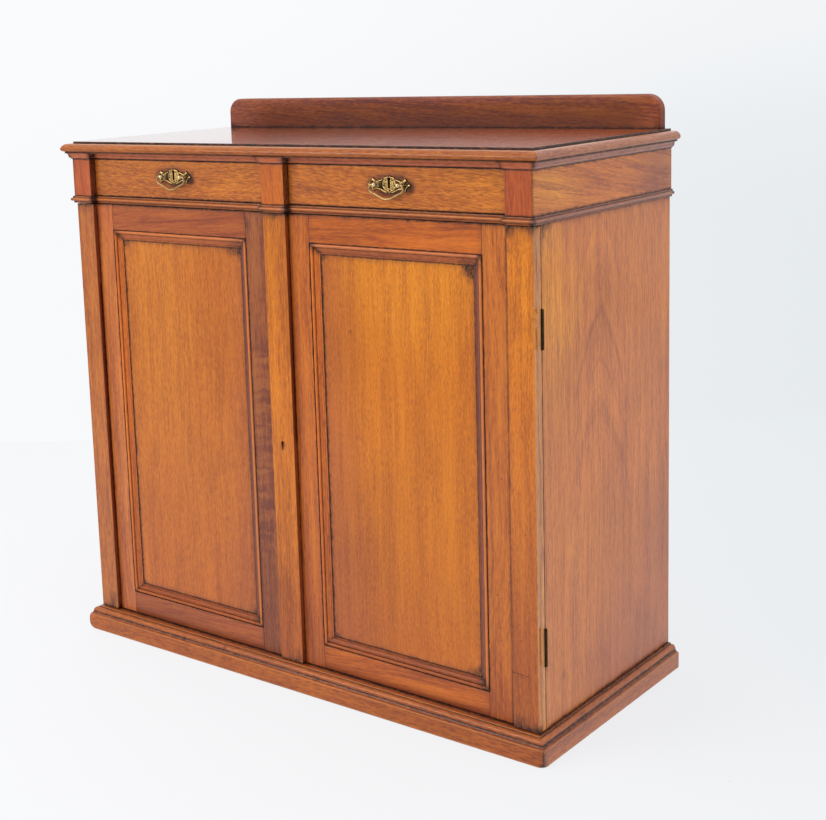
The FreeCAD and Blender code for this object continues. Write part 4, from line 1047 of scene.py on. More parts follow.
for x in range(-495, 500, 18):
    bmesh.ops.bisect_plane(bm, geom=bm.verts[:] + bm.edges[:] + bm.faces[:], dist=1e-7, plane_co=(x * MM, 0, 0), plane_no=(1, 0, 0))
for z in range(1004, 1050, 15):
    bmesh.ops.bisect_plane(bm, geom=bm.verts[:] + bm.edges[:] + bm.faces[:], dist=1e-7, plane_co=(0, 0, z * MM), plane_no=(0, 0, 1))
bm.normal_update()
for v, n in [(v, v.normal.copy()) for v in bm.verts]:
    if v.co.z > (UZ0 + 0.5) * MM:
        v.co -= n * (0.5 + 0.5 * noise.noise(v.co * 12.0)) * 0.10 * MM
me = bpy.data.meshes.new("v_upstand")
bm.to_mesh(me)
bm.free()
me.set_sharp_from_angle(angle=math.radians(50))
# Upstand: the dark lines along its foot, where it stands on the top, are painted shade with soiling; it is darker
# towards the bottom.
upstand_m = wood("upstand_wood_m", "x", 71, TONE["upstand"], k=1.1, bands=1.3, streaks=1.8, flecks=1.0, pores=0.55, rough=0.42, coat=0.12, coat_rough=0.12, tilt=(0, -0.05, 0),
                 fade=(("z", 1040, 1008, (88, 32, 8), 0.7), ("z", 1034, 1054, (150, 84, 60), 0.7), ("x", 430, 500, (146, 72, 42), 0.7), ("x", -380, -500, (146, 80, 58), 0.7)),
                 grime_and_shade=(("z", 994.4, 5.5, 0.95), ("z", 994.4, 16, 0.35), ("z", 1054.9, 1.6, 0.45)),
                 spots=((372, 441, 1036, 5, 0.7), (-500, 441, 998, 12, 0.5), (500, 441, 998, 12, 0.5), (40, 441, 1012, 5, 0.3)))
finish_piece(new_object("v_upstand", me), "upstand", upstand_m)

# ------------------------------------------------------------------ doors
# painted shade below the waist moulding and above the plinth, with soiling
STILE_GRIME_AND_SHADE = (("z", 874, 4, 0.85), ("z", 874, 13, 0.3), ("z", 47, 2.2, 0.8))


# the sight lines along the panel moulding's outer groove are painted shade; the line beside the pilaster or strip is a
# dark joint
def stile_mat(name, seed, rgb, node, sight, joint_x, extra=(), spots=(), joint=0.55, **kw):
    return wood(name, "z", seed, rgb, box=box_of(node), joint=joint, rough=0.34, coat=0.55, coat_rough=0.14,
                grime_and_shade=STILE_GRIME_AND_SHADE + (("x", sight, 3.0, 1.0, 91, 825), ("x", sight, 1.1, 0.45), ("x", joint_x, 1.8, 0.8)) + tuple(extra), spots=spots, **kw)


refine("left_door_hinge_stile", stile_mat("left_stile_wood", 81, TONE["stile_lh"], "left_door_hinge_stile", -427.5, -470, k=0.95, bands=1.2, streaks=1.3, flecks=0.6, pores=0.4, fade=(("z", 760, 850, (184, 92, 50), 0.7), ("z", 300, 80, (170, 88, 48), 0.5)),
                                          extra=(("y", 10, 0.1, 0.0),)), bevel=0.5, grid=(22, None, 22), seed=11)
refine("left_door_meeting_stile", stile_mat("left_meeting_wood", 83, TONE["stile_lm"], "left_door_meeting_stile", -84.5, -33, k=0.9, bands=1.4, streaks=1.2, flecks=0.8, pores=0.5, extra=(("x", -84.5, 8, 0.4),), spots=((-82, 10, 850, 18, 0.5),), ripple=(230, 640, 2.9),
                                            fade=(("z", 700, 500, (110, 48, 34), 0.25),)), bevel=0.5, grid=(22, None, 22), seed=12)
refine("right_door_meeting_stile", stile_mat("right_meeting_wood", 87, TONE["stile_rm"], "right_door_meeting_stile", 62.5, 18, k=0.95, bands=1.3, streaks=1.4, flecks=0.6, pores=0.4, fade=(("z", 380, 80, (158, 74, 34), 0.65),)),
       bevel=0.5, grid=(22, None, 22), seed=13)
# the outer side face of this stile is made lighter: painted highlight
refine("right_door_hinge_stile", stile_mat("right_stile_wood", 89, TONE["stile_rh"], "right_door_hinge_stile", 415.5, 467, joint=0.0, extra=(("y", 22, 1.6, 0.85), ("x", 460.5, 4.0, 0.6), ("x", 424, 6, 0.2)), k=0.95, bands=1.4, streaks=1.5, flecks=0.6, pores=0.4, soil=0.7,
                                           fade=(("z", 180, 60, (160, 76, 36), 0.6), ("x", 514.6, 515.3, (216, 146, 84), 0.8)), front=21.2),
       bevel=0.5, grid=(22, None, 22), seed=14, pick=lambda e: not all(abs(v.co.y - P(0, 10, 0).y) < 1e-5 and v.co.x > 0.515 for v in e.verts))

for side, opening, seed, top_rgb in (("left", OPEN_L, 91, TONE["rail_l"]), ("right", OPEN_R, 95, TONE["rail_r"])):
    # Rails: painted shade along the panel moulding's edges, below the waist moulding and above the plinth, with
    # soiling; the fade towards the plinth is a painted shadow.
    rail = wood(side + "_rail_wood", "x", seed, top_rgb, k=0.95, bands=1.1, streaks=1.3, flecks=0.45, pores=0.4, tone=0.26, box=None, tilt=(0, 0.06, 0),
                rough=0.34, coat=0.55, coat_rough=0.14,
                grime_and_shade=(("z", 824.7, 2.0, 0.85), ("z", 91, 2.2, 0.85), ("z", 874, 4, 0.85), ("z", 874, 14, 0.3), ("z", 47, 2.2, 0.85), ("x", opening[0], 1.3, 0.4), ("x", opening[1], 1.3, 0.6),
                       ("x", opening[0], 14, 0.22), ("x", opening[1], 14, 0.22)), fade=(("z", 66, 47, (116, 46, 16), 0.85),))
    o = refine(side + "_door_rails", rail, bevel=0.5, grid=(22, None, None), seed=seed)

    x0, x1, z0, z1 = opening
    w = 19.4
    inner = (x0 + w, x1 - w, z0 + w, z1 - w)
    pspots = [(inner[0], 16, inner[2], 24, 0.6), (inner[1], 16, inner[2], 30, 0.75), (inner[0], 16, inner[3], 22, 0.7), (inner[1], 16, inner[3], 30, 0.9)]
    if side == "right":
        pspots += [(inner[1] - 12, 16, inner[3] - 2, 20, 0.85), (inner[0] + 60, 16, inner[3] - 130, 4, 0.5)]
        ppatch = (((300, 16, 800), (260, 60, 230), (226, 142, 42), 0.4),)
        pfade = (("x", 190, 84, (168, 88, 48), 0.55),)
        phalo = (((60, 16, 100), (210, 60, 480), (158, 80, 46), 0.5),)
        prgb = TONE["panel_r"]
    else:
        pspots += [(inner[1] - 20, 16, inner[3] - 2, 22, 0.5)]
        ppatch = (((-320, 16, 700), (160, 60, 420), (220, 136, 50), 0.35),)
        pfade = (("x", -190, -104, (172, 92, 50), 0.4),)
        phalo = (((-100, 16, 70), (130, 60, 330), (150, 76, 46), 0.45),)
        prgb = TONE["panel_l"]
    # the dark lines along the panel's edges are painted shadow cast by the moulding onto the panel
    panel = wood(side + "_panel_wood", "z", seed + 1, prgb, k=0.72, bands=0.75, streaks=0.95, flecks=0.78, pores=0.5, stretch=0.2,
                 rough=0.34, coat=0.55, coat_rough=0.13, tone=0.14, patches=ppatch,
                 grime_and_shade=(("x", inner[0], 5.4, 1.0), ("x", inner[0], 2.0, 0.9), ("x", inner[1], 2.2, 0.9), ("z", inner[2], 2.6, 0.95), ("z", inner[3], 2.8, 0.95),
                        ("x", inner[0], 13, 0.3), ("x", inner[1], 11, 0.28), ("z", inner[2], 11, 0.3), ("z", inner[3], 12, 0.32)),
                 fade=(("z", 420, 60, (178, 88, 44), 0.4),) + pfade, spots=pspots, halos=phalo, front=17.4)
    refine(side + "_door_panel", panel, bevel=0.5, grid=(22, None, 22), wob=0.12, seed=seed + 1)

    PM = [(0.0, 16.5), (0.0, 12.6), (1.2, 12.6), (1.2, 10.4), ("arc", (4.0, 8.6), (6.8, 10.2)), (6.8, 12.6), (7.6, 12.8), (7.6, 12.4), ("arc", (9.8, 12.7), (12.0, 13.7)),
          ("arc", (13.8, 14.7), (16.0, 14.8)), (16.0, 15.3), (19.4, 15.3), (19.4, 16.5)]

    def pm_extra(d, h):
        # Painted shade in the outer groove, the quirk, across the ogee and at the panel's edge; painted highlight along
        # the bead.
        if d < 1.3:
            return (0.9, 0.0)
        if 6.6 < d < 7.7 and h > 11.4:
            return (0.95, 0.0)
        if 7.5 < d < 16.2:
            return (0.34 - 0.10 * (9 < d < 14) + 0.35 * (d > 15.6), 0.0)
        if d > 18.6:
            return (0.8, 0.0)
        if 1.8 < d < 6.3 and h < 9.9:
            return (0.0, 1.0)
        return (0.0, 0.0)

    cs = [(x0, 14, z0, 16, 0.55), (x1, 14, z0, 20, 0.75), (x0, 14, z1, 18, 0.75), (x1, 14, z1, 24, 0.85),
          (x1 - 30, 14, z1 - 16, 26, 0.5), (x0 + 12, 14, z1 - 12, 16, 0.5), (x1 - 12, 14, z0 + 12, 18, 0.6)]
    mats = []
    for j, (run, grain) in enumerate((("bottom", "x"), ("right", "z"), ("top", "x"), ("left", "z"))):
        # The runs differ in tone, in fade and in how strongly hollows and proud edges show: painted light and shade for
        # how each run faces; the right run's inner slope gets painted shade, the left run is darker towards the bottom.
        shade = (("x", x1 - 7.6, x1 - 8.6, (122, 66, 54), 0.8),) if run == "right" else (("z", 560, 120, (168, 88, 50), 0.45),) if run == "left" else ()
        mats.append(wood(side + "_panel_moulding_" + run, grain, seed + 2 + j, TONE["moulding_" + run], fade=shade, k=0.85, bands=0.7, streaks=1.0, flecks=0.8, pores=0.4,
                         rough=0.36 if run != "bottom" else 0.44, coat=0.4 if run != "bottom" else 0.2, cav={"left": 0.6, "bottom": 0.8, "top": 0.9}.get(run, 0.98), rub_and_highlight={"left": 0.2, "bottom": 0.35, "top": 0.6}.get(run, 0.8), spots=cs))
    o = sweep("v_" + side + "_door_panel_moulding", profile(PM, r=0.3, arc_n=8, near=0.7, extra=pm_extra, hidden=lambda d, h: h > 16.4),
              [(x0, z0), (x1, z0), (x1, z1), (x0, z1)], upright, side=-1, closed=True, step=8, seg_mat=[0, 1, 2, 3], wob=0.06, seed=seed, corner=0.55)
    finish_piece(o, side + "_door_panel_moulding", mats)

# painted shade below the waist moulding and above the plinth, with soiling
PIL_GRIME_AND_SHADE = (("z", 874, 7, 0.75), ("z", 874, 26, 0.3), ("z", 47, 10, 0.85), ("z", 47, 45, 0.25))
# Left pilaster: its side face towards the door gets painted shade, as does that face's back edge against the door; its
# front edges are lighter, rubbed and with a painted highlight.
pil_l = wood("left_pilaster_wood", "z", 101, TONE["pilaster_l"], k=0.95, bands=1.1, streaks=1.3, flecks=0.7, pores=0.6, box=box_of("left_door_pilaster"), fade=(("x", -471.2, -470.2, (132, 52, 14), 0.9),),
             rough=0.34, coat=0.55, coat_rough=0.14, edge_rub_and_highlight=0.55, edge_rub_and_highlight_w=1.3, grime_and_shade=PIL_GRIME_AND_SHADE + (("x", -470.0, 0.5, 0.3), ("y", 10, 3.2, 0.95)), spots=((-490, 0, 50, 22, 0.5), (-480, 0, 70, 20, 0.4)))
proud = lambda e: all(v.co.y < P(0, 9, 0).y for v in e.verts)
refine("left_door_pilaster", pil_l, bevel=0.9, seg=3, grid=(None, None, 14), wob=0.12, seed=21, pick=proud)
# Right pilaster: its outer side face is made lighter, a painted highlight; its front edges are lighter, rubbed and with
# a painted highlight.
pil_r = wood("right_pilaster_wood", "z", 103, TONE["pilaster_r"], k=0.85, bands=0.85, streaks=1.05, flecks=0.62, pores=0.7, stretch=0.2, box=box_of("right_door_pilaster"), patches=(((500, 0, 770), (60, 40, 170), (236, 142, 34), 0.6),),
             rough=0.34, coat=0.55, coat_rough=0.14, edge_rub_and_highlight=0.5, edge_rub_and_highlight_w=1.2, soil=0.9,
             grime_and_shade=PIL_GRIME_AND_SHADE + (("x", 467.0, 2.2, 0.65),), fade=(("z", 640, 120, (156, 78, 40), 0.8), ("x", 514.4, 515.1, (212, 138, 76), 0.75)), cuts=(((467.6, 0, 142.8), (495.8, 0, 141.2), 1.2, 0.7), ((477, 0, 138), (490, 0, 137), 1.0, 0.45), ((472, 0, 334), (480, 0, 330), 0.9, 0.5)),
             spots=((478, 0, 56, 16, 0.7), (513, 0, 54, 12, 0.6), (472, 0, 868, 20, 0.5), (513, 0, 870, 15, 0.6), (468, 0, 836, 12, 0.35), (500, 0, 250, 5, 0.5), (484, 0, 200, 3, 0.6), (495, 0, 380, 3, 0.5)))
refine("right_door_pilaster", pil_r, bevel=1.0, seg=3, grid=(None, None, 12), wob=0.14, seed=22, pick=proud)
# Centre strip: its right side face gets painted shade, as does that face's back edge against the door; its front edges
# are lighter, rubbed and with a painted highlight.
strip = wood("centre_strip_wood", "z", 107, TONE["strip"], k=0.85, bands=1.1, streaks=1.2, flecks=0.75, pores=0.6, box=box_of("right_door_centre_strip"), fade=(("z", 330, 90, (162, 78, 38), 0.75), ("x", 16.8, 17.8, (142, 58, 16), 0.9)),
             rough=0.34, coat=0.55, coat_rough=0.14, edge_rub_and_highlight=0.6, edge_rub_and_highlight_w=1.2, grime_and_shade=PIL_GRIME_AND_SHADE + (("x", 18.0, 0.5, 0.3), ("y", 10, 3.2, 0.95)),
             spots=((KEY[0], 0, KEY[1] - 3, 9, 0.9), (KEY[0], 0, KEY[1] - 8, 14, 0.35), (-8, 0, 872, 18, 0.5), (8, 0, 54, 20, 0.5)))
refine("right_door_centre_strip", strip, bevel=0.9, seg=3, grid=(None, None, 12), wob=0.12, seed=23, pick=proud)

# ------------------------------------------------------------------ drawer fronts
for side, (hx, hz), seed, rgb, tilt in (("left", HANDLES["left_drawer"], 111, TONE["drawer_l"], (0, -0.015, 0)), ("right", HANDLES["right_drawer"], 117, TONE["drawer_r"], (0, -0.07, 0))):
    node = side + "_drawer_front"
    lo, hi = box_of(node)
    dpatch = (((450, 10, 948), (200, 40, 50), (222, 132, 38), 0.45), ((60, 10, 915), (60, 20, 50), (172, 92, 40), 0.4)) if side == "right" else (((-90, 10, 915), (110, 20, 60), (214, 126, 34), 0.5), ((-420, 10, 900), (60, 20, 40), (166, 92, 52), 0.4))
    # Drawer fronts: the halos around each handle are soiling with the painted shadow of the plate and bail, darkest
    # under the bail and the right wing, and near black behind the keyhole (painted shade); the dark line along the
    # bottom is soiling with painted shade, the one along the top painted shade under the bed moulding.
    m_ = wood(node + "_wood", "x", seed, rgb, k=0.95, bands=0.9, streaks=0.95, flecks=1.1, pores=0.8, box=(lo, hi), tilt=tilt, patches=dpatch,
              halos=(((hx, 10, hz - 1), (62, 20, 27), (136, 72, 48), 0.7), ((hx, 10, hz), (50, 20, 19), (92, 46, 36), 0.6), ((hx + 2, 10, hz - 12), (36, 20, 13), (66, 28, 17), 0.85),
                     ((hx + 42, 10, hz - 5), (13, 20, 13), (52, 26, 20), 0.85), ((hx, 10, hz + 1), (11, 12, 18), (9, 7, 6), 1.0)),
              rough=0.34, coat=0.55, coat_rough=0.13, edge_rub_and_highlight=0.35, edge_rub_and_highlight_w=0.9,
              grime_and_shade=(("z", 890, 3.6, 0.95), ("z", 960.2, 2.4, 0.8), ("x", lo.x * 1000, 2.2, 0.7), ("x", hi.x * 1000, 2.2, 0.7), ("x", lo.x * 1000, 30, 0.2), ("x", hi.x * 1000, 18, 0.25)),
              spots=[(hx + dx, 10, hz + dz, r_, 0.5) for dx, dz, r_ in ((-40, 2, 18), (-24, 0, 21), (-10, 1, 24), (10, 1, 24), (24, 0, 21), (40, 0, 19))] +
              [(hx, 10, hz + 5, 8, 1.0)])
    refine(node, m_, bevel=0.7, seg=3, grid=(18, None, 14), wob=0.08, seed=seed)

# ------------------------------------------------------------------ handles
PLATE = [(0.0, 14.6), (3.2, 14.1), (5.4, 12.9), (8.2, 12.6), (11.2, 11.4), (13.6, 9.6), (17.0, 8.4), (20.6, 8.0), (23.4, 6.4), (26.0, 7.4),
         (29.6, 8.2), (33.2, 11.0), (35.0, 7.8), (38.4, 4.4), (41.0, 1.6), (43.8, -0.8), (40.6, -2.2), (37.4, -4.4), (35.0, -6.6), (34.0, -9.4), (33.2, -12.6),
         (31.0, -10.0), (28.0, -8.4), (22.0, -8.4), (18.0, -9.3), (14.0, -11.2), (10.0, -12.9), (6.0, -13.9), (2.6, -14.4), (0.0, -14.6)]


def seg_dist(p, a, b):
    ax, ay, bx, by = a[0], a[1], b[0], b[1]
    t = ((p[0] - ax) * (bx - ax) + (p[1] - ay) * (by - ay)) / max((bx - ax) ** 2 + (by - ay) ** 2, 1e-9)
    t = min(1.0, max(0.0, t))
    return math.hypot(p[0] - ax - (bx - ax) * t, p[1] - ay - (by - ay) * t)


def loop_dist(p, pts):
    return min(seg_dist(p, pts[i - 1], pts[i]) for i in range(len(pts)))


def inside(p, pts):
    c = False
    for i in range(len(pts)):
        (x0, y0), (x1, y1) = pts[i - 1], pts[i]
        if (y0 > p[1]) != (y1 > p[1]) and p[0] < (x1 - x0) * (p[1] - y0) / (y1 - y0) + x0:
            c = not c
    return c


def smooth_loop(pts, per=3):
    n = len(pts)
    out = []
    for i in range(n):
        p0, p1, p2, p3 = pts[i - 1], pts[i], pts[(i + 1) % n], pts[(i + 2) % n]
        for s in range(per):
            t = s / per
            out.append(tuple(0.5 * (2 * b + (c - a) * t + (2 * a - 5 * b + 4 * c - d) * t * t + (3 * b - a - 3 * c + d) * t ** 3) for a, b, c, d in zip(p0, p1, p2, p3)))
    return out


def bell(d, w):
    return math.exp(-(d / w) ** 2)


def dome(d, r):
    return math.sqrt(max(0.0, 1 - (d / r) ** 2))


SCROLLS = [
    [(-39.5, 3.2), (-37.5, 5.6), (-34.5, 7.4), (-31.0, 6.6), (-29.2, 3.8), (-30.2, 1.2), (-32.8, 0.6)],
    [(-41.5, -0.8), (-38.4, -1.2), (-36.0, -3.2), (-34.2, -6.2), (-33.2, -10.0)],
    [(-14.6, 7.6), (-18.5, 6.2), (-22.5, 4.6)],
    [(-5.4, -12.9), (-9.6, -11.7), (-14.2, -9.7), (-18.6, -7.5), (-23.0, -6.7), (-28.0, -6.4)],
    [(-9.6, 10.4), (-6.2, 11.0), (-3.0, 12.4), (0.0, 12.6)],
]
SCROLLS += [[(-x, z) for x, z in s] for s in SCROLLS]


def plate_height(a, b, rim):
    """Relief of the cast plate in mm above the drawer front: rim, cartouche with a crown, bosses under the posts, scrolls on the wings."""
    h = 1.05
    wing = 1.0 if abs(a) > 27 else 0.0
    h += (0.9 + 0.5 * wing) * bell(rim - 1.05, 0.78 + 0.35 * wing)                                            # rim
    e = math.hypot(a / 14.6, (b - 0.2) / 12.6)
    h = max(h, 1.1 + 1.25 * dome(e, 1.0) ** 0.8 if e < 1 else 0)                  # cartouche
    h += 0.3 * bell((e - 0.90) * 12.5, 0.9)                                     # its raised border
    for x in (-6.4, -3.3, 0.0, 3.3, 6.4):                                        # crown
        h = max(h, 1.0 + 1.5 * dome(math.hypot(a - x, b - (12.0 - abs(x) * 0.16)), 1.75))
    for sx in (-1, 1):
        r = math.hypot(a - sx * 24.3, b)
        h = max(h, 1.2 + 1.0 * bell(r - 4.4, 0.8)) if r < 6.4 else h              # boss under the post
        if r < 4.0:
            h = 1.5
        q = max(abs(a - sx * 17.6) / 3.2, abs(b) / 5.0)
        if q < 1:
            h = min(h, 1.0 + 0.6 * max(0.0, q - 0.6) * 2.5 + 0.25 * math.cos(b * 2.6))                      # sunk field between boss and cartouche
    for s in SCROLLS:
        d = min(seg_dist((a, b), s[i], s[i + 1]) for i in range(len(s) - 1))
        wide = 1.85 if abs(s[0][0]) > 30 else 1.35                              # the wings' scrolls are the boldest
        h = max(h, 1.0 + (1.1 + 0.3 * wide) * dome(d, wide) ** 0.9) if d < wide else h
    if e < 0.84:                                                                 # reeded field of the cartouche
        h -= 0.28 * (0.5 + 0.5 * math.cos(a * 2.05)) * min(1.0, (0.84 - e) * 6)
    for x, z, r in ((-10.6, -2.0, 1.2), (10.6, -2.0, 1.2), (0.0, -9.6, 1.3), (-6.0, -7.4, 0.9), (6.0, -7.4, 0.9), (-7.0, 6.6, 0.9), (7.0, 6.6, 0.9), (-36.4, 3.2, 0.9), (36.4, 3.2, 0.9)):
        d = math.hypot(a - x, b - z)
        if d < r * 1.6:
            h = min(h, 0.35 + 1.8 * max(0.0, d / r - 0.6))                       # small pits
    for sx in (-1, 1):
        d = math.hypot((a - sx * 31.4) / 1.15, (b - 1.6) / 1.0)
        if d < 2.2:
            h = min(h, 0.75 + 1.2 * max(0.0, d / 2.2 - 0.4) * 1.8)               # pierced look of the wings
    k = loop_dist((a, b), KEYLOOP)
    h += 0.5 * bell(k - 1.0, 0.6)                                                # lip of the keyhole
    h += 0.26 * noise.noise(Vector((a * 0.42, b * 0.42, 3.1)))                  # rough casting
    return min(h, 3.1)


kz = 8.9
KEYLOOP = [(2.1, kz - 15.2), (2.1, kz - 2.2)] + [(2.9 * math.cos(t), kz + 2.9 * math.sin(t)) for t in (math.radians(-50 + 280 * i / 14) for i in range(0, 15))] + [(-2.1, kz - 2.2), (-2.1, kz - 15.2)]
OUTER = smooth_loop(PLATE + [(-a, b) for a, b in PLATE[-2:0:-1]], 3)
POST = [[(sx * 24.3 + 2.3 * math.cos(2 * math.pi * i / 20), 2.3 * math.sin(2 * math.pi * i / 20)) for i in range(20)] for sx in (-1, 1)]


def plate_mesh(name, hx, hz):
    pts, edges = [], []

    def add_loop(lp):
        base = len(pts)
        pts.extend(lp)
        edges.extend((base + i, base + (i + 1) % len(lp)) for i in range(len(lp)))

    add_loop(OUTER)
    add_loop(KEYLOOP)
    for lp in POST:
        add_loop(lp)
    g = 0.55
    nx, nz = int(45 / g), int(16 / g)
    for i in range(-nx, nx + 1):
        for k in range(-nz, nz + 1):
            a, b = i * g + (0.5 * g if k % 2 else 0), k * g
            if not inside((a, b), OUTER) or loop_dist((a, b), OUTER) < 0.3:
                continue
            if inside((a, b), KEYLOOP) or loop_dist((a, b), KEYLOOP) < 0.3:
                continue
            if any(math.hypot(a - sx * 24.3, b) < 2.55 for sx in (-1, 1)):
                continue
            pts.append((a, b))
    vs, es, fs, _, _, _ = delaunay_2d_cdt([Vector(p) for p in pts], edges, [], 0, 1e-6)
    tri = []
    for f in fs:
        c = (sum(vs[i].x for i in f) / 3, sum(vs[i].y for i in f) / 3)
        if inside(c, OUTER) and not inside(c, KEYLOOP) and all(math.hypot(c[0] - sx * 24.3, c[1]) > 2.25 for sx in (-1, 1)):
            tri.append(tuple(f))
    rims = [loop_dist((v.x, v.y), OUTER) for v in vs]
    hs = []
    for v, rim in zip(vs, rims):
        h = plate_height(v.x, v.y, rim)
        h *= 0.55 + 0.45 * min(1.0, rim / 0.55)
        hs.append(h)
    n = len(vs)
    verts = [P(hx + v.x, 10.0 - h, hz + v.y) for v, h in zip(vs, hs)] + [P(hx + v.x, 10.0, hz + v.y) for v in vs]
    faces = [t for t in tri] + [tuple(reversed([i + n for i in t])) for t in tri]
    count = {}
    for t in tri:
        for i in range(3):
            k = (t[i], t[(i + 1) % 3])
            count[k] = count.get(k, 0) + 1
    for (a, b) in list(count):
        if (b, a) not in count:
            faces.append((b, a, a + n, b + n))
    me = bpy.data.meshes.new(name)
    me.from_pydata(verts, [], faces)
    # hollows and high points, from how each point stands to its surroundings
    cav, rub_and_highlight = [], []
    for v, h, rim in zip(vs, hs, rims):
        around = [plate_height(v.x + 1.3 * math.cos(t), v.y + 1.3 * math.sin(t), max(0.0, rim)) for t in (0.3, 1.35, 2.4, 3.45, 4.5, 5.55)]
        rel = h - sum(around) / 6
        # points near the plate's outline are darker as well: painted contact shadow along its edge
        cav.append(min(1.0, max(0.0, 0.26 - rel * 2.2 + (1.45 - h) * 0.6 + (0.5 if rim < 0.45 else 0.0))))
        rub_and_highlight.append(min(1.0, max(0.0, rel * 2.4 + (h - 1.9) * 0.9)))
    # the plate's edge faces are set dark: painted shadow
    set_floats(me, "cav", cav + [0.9] * n)
    set_floats(me, "rub_and_highlight", rub_and_highlight + [0.0] * n)
    bm = bmesh.new()
    bm.from_mesh(me)
    bmesh.ops.recalc_face_normals(bm, faces=bm.faces[:])
    bm.to_mesh(me)
    bm.free()
    me.set_sharp_from_angle(angle=math.radians(55))
    return new_object(name, me)


plate_m = metal("handle_plate_brass", (206, 168, 102), (112, 82, 52), (28, 19, 19), seed=2, rough=0.35, tarnish=0.54, cav=1.7)
post_m = metal("handle_post_brass", (226, 204, 150), (146, 120, 78), (34, 24, 20), seed=5, rough=0.28, tarnish=0.35, cav=1.0)
bail_m = metal("handle_bail_brass", (186, 154, 100), (112, 84, 52), (34, 23, 19), seed=8, rough=0.35, tarnish=0.55, cav=1.0, brushed="x", scratch=0.1)
for side in ("left", "right"):
    d = side + "_drawer"
    hx, hz = HANDLES[d]
    finish_piece(plate_mesh("v_" + d + "_handle_plate", hx, hz), d + "_handle_plate", plate_m, weighted=False)
    turned = []
    head = [(0.0, 0.0)] + [(4.1 * (1 - math.cos(t)), 4.1 * math.sin(t)) for t in (math.radians(a) for a in range(8, 146, 8))]
    neck = [(8.0, 2.15), (8.6, 2.0), (9.2, 2.1), (9.6, 2.9), (10.2, 3.5), (10.9, 3.7), (11.4, 3.5), (11.7, 3.0), (12.2, 3.1), (12.6, 3.9), (13.6, 4.1), (14.3, 3.7), (14.3, 2.2),
            (35.0, 2.2), (35.0, 5.0), (35.3, 5.2), (37.7, 5.2), (38.1, 4.9), (38.1, 2.2), (38.8, 2.1), (39.1, 1.6), (39.1, 0.0)]
    for sx in (-1, 1):
        o = lathe("post_%s_%d" % (side, sx), [(a, r) for a, r in head + neck], P(hx + sx * 24.3, -5.1, hz), (0, 1, 0), steps=36)
        ys = [v.co.y for v in o.data.vertices]
        y0 = P(0, -5.1, 0).y
        set_floats(o.data, "cav", [1.0 if 7.6 < (y - y0) / MM < 9.3 else (0.8 if 11.5 < (y - y0) / MM < 12.4 else (0.25 if (y - y0) / MM > 14.2 else 0.0)) for y in ys])
        set_floats(o.data, "rub_and_highlight", [max(0.0, 1.0 - (y - y0) / MM / 5.0) for y in ys])
        o.data.set_sharp_from_angle(angle=math.radians(42))
        turned.append(o)
    finish_piece(join("v_" + d + "_handle_posts", turned), d + "_handle_posts", post_m)
    half = [(22.6, 0.0), (26.5, 0.2), (30.2, 0.1), (33.0, -1.5), (34.3, -4.6), (34.3, -8.2), (32.4, -11.2), (28.8, -13.2), (24.4, -14.9), (19.8, -16.8), (15.2, -18.9), (10.6, -21.0), (5.6, -22.8), (0.0, -23.4)]
    line = catmull([(a, b) for a, b in half] + [(-a, b) for a, b in half[-2::-1]], 6)
    rad = []
    for a, b in line:
        r = 1.6 + 0.2 * bell(a, 7.0) + 0.15 * bell(abs(a) - 33.0, 3.0)
        r -= 0.25 * bell(abs(a) - 12.0, 2.6)
        rad.append(r)
    o = tube("v_" + d + "_handle_bail", [(hx + a, -1.0, hz + b) for a, b in line], rad, sides=18)
    set_floats(o.data, "cav", [0.35 * bell(abs(abs(line[i // 18][0]) - 26.5), 1.8) for i in range(len(line) * 18)])
    set_floats(o.data, "rub_and_highlight", [0.55 for _ in range(len(line) * 18)])
    finish_piece(o, d + "_handle_bail", bail_m)

# ------------------------------------------------------------------ nodes kept as they are, with their own finish
hinge_m = metal("hinge_aged_brass", (92, 78, 52), (50, 42, 32), (16, 13, 11), seed=11, rough=0.45, tarnish=0.75, brushed="z", scratch=0.3)
screw_m = metal("screw_old_steel", (120, 112, 102), (70, 62, 54), (24, 20, 18), seed=13, rough=0.45, tarnish=0.6)
lock_m = metal("lock_dark_steel", (128, 122, 112), (78, 70, 62), (30, 24, 20), seed=17, rough=0.42, tarnish=0.6, brushed="x", scratch=0.4)
bolt_m = metal("bolt_worn_brass", (206, 178, 118), (150, 122, 74), (46, 36, 24), seed=19, rough=0.34, tarnish=0.45, brushed="z", scratch=0.3)
for n in ("hinge_case_leaves", "left_door_hinge_leaves", "right_door_hinge_leaves"):
    keep(n, hinge_m)
for n in ("hinge_case_screws", "left_door_hinge_screws", "right_door_hinge_screws"):
    keep(n, screw_m)
for n in ("right_door_lock_case", "left_drawer_lock_case", "right_drawer_lock_case"):
    keep(n, lock_m, 0.4)
for n in ("left_door_bolt_plate", "right_door_lock_bolt", "left_drawer_lock_bolt", "right_drawer_lock_bolt"):
    keep(n, bolt_m, 0.35)
keep("left_door_bolt", bolt_m)

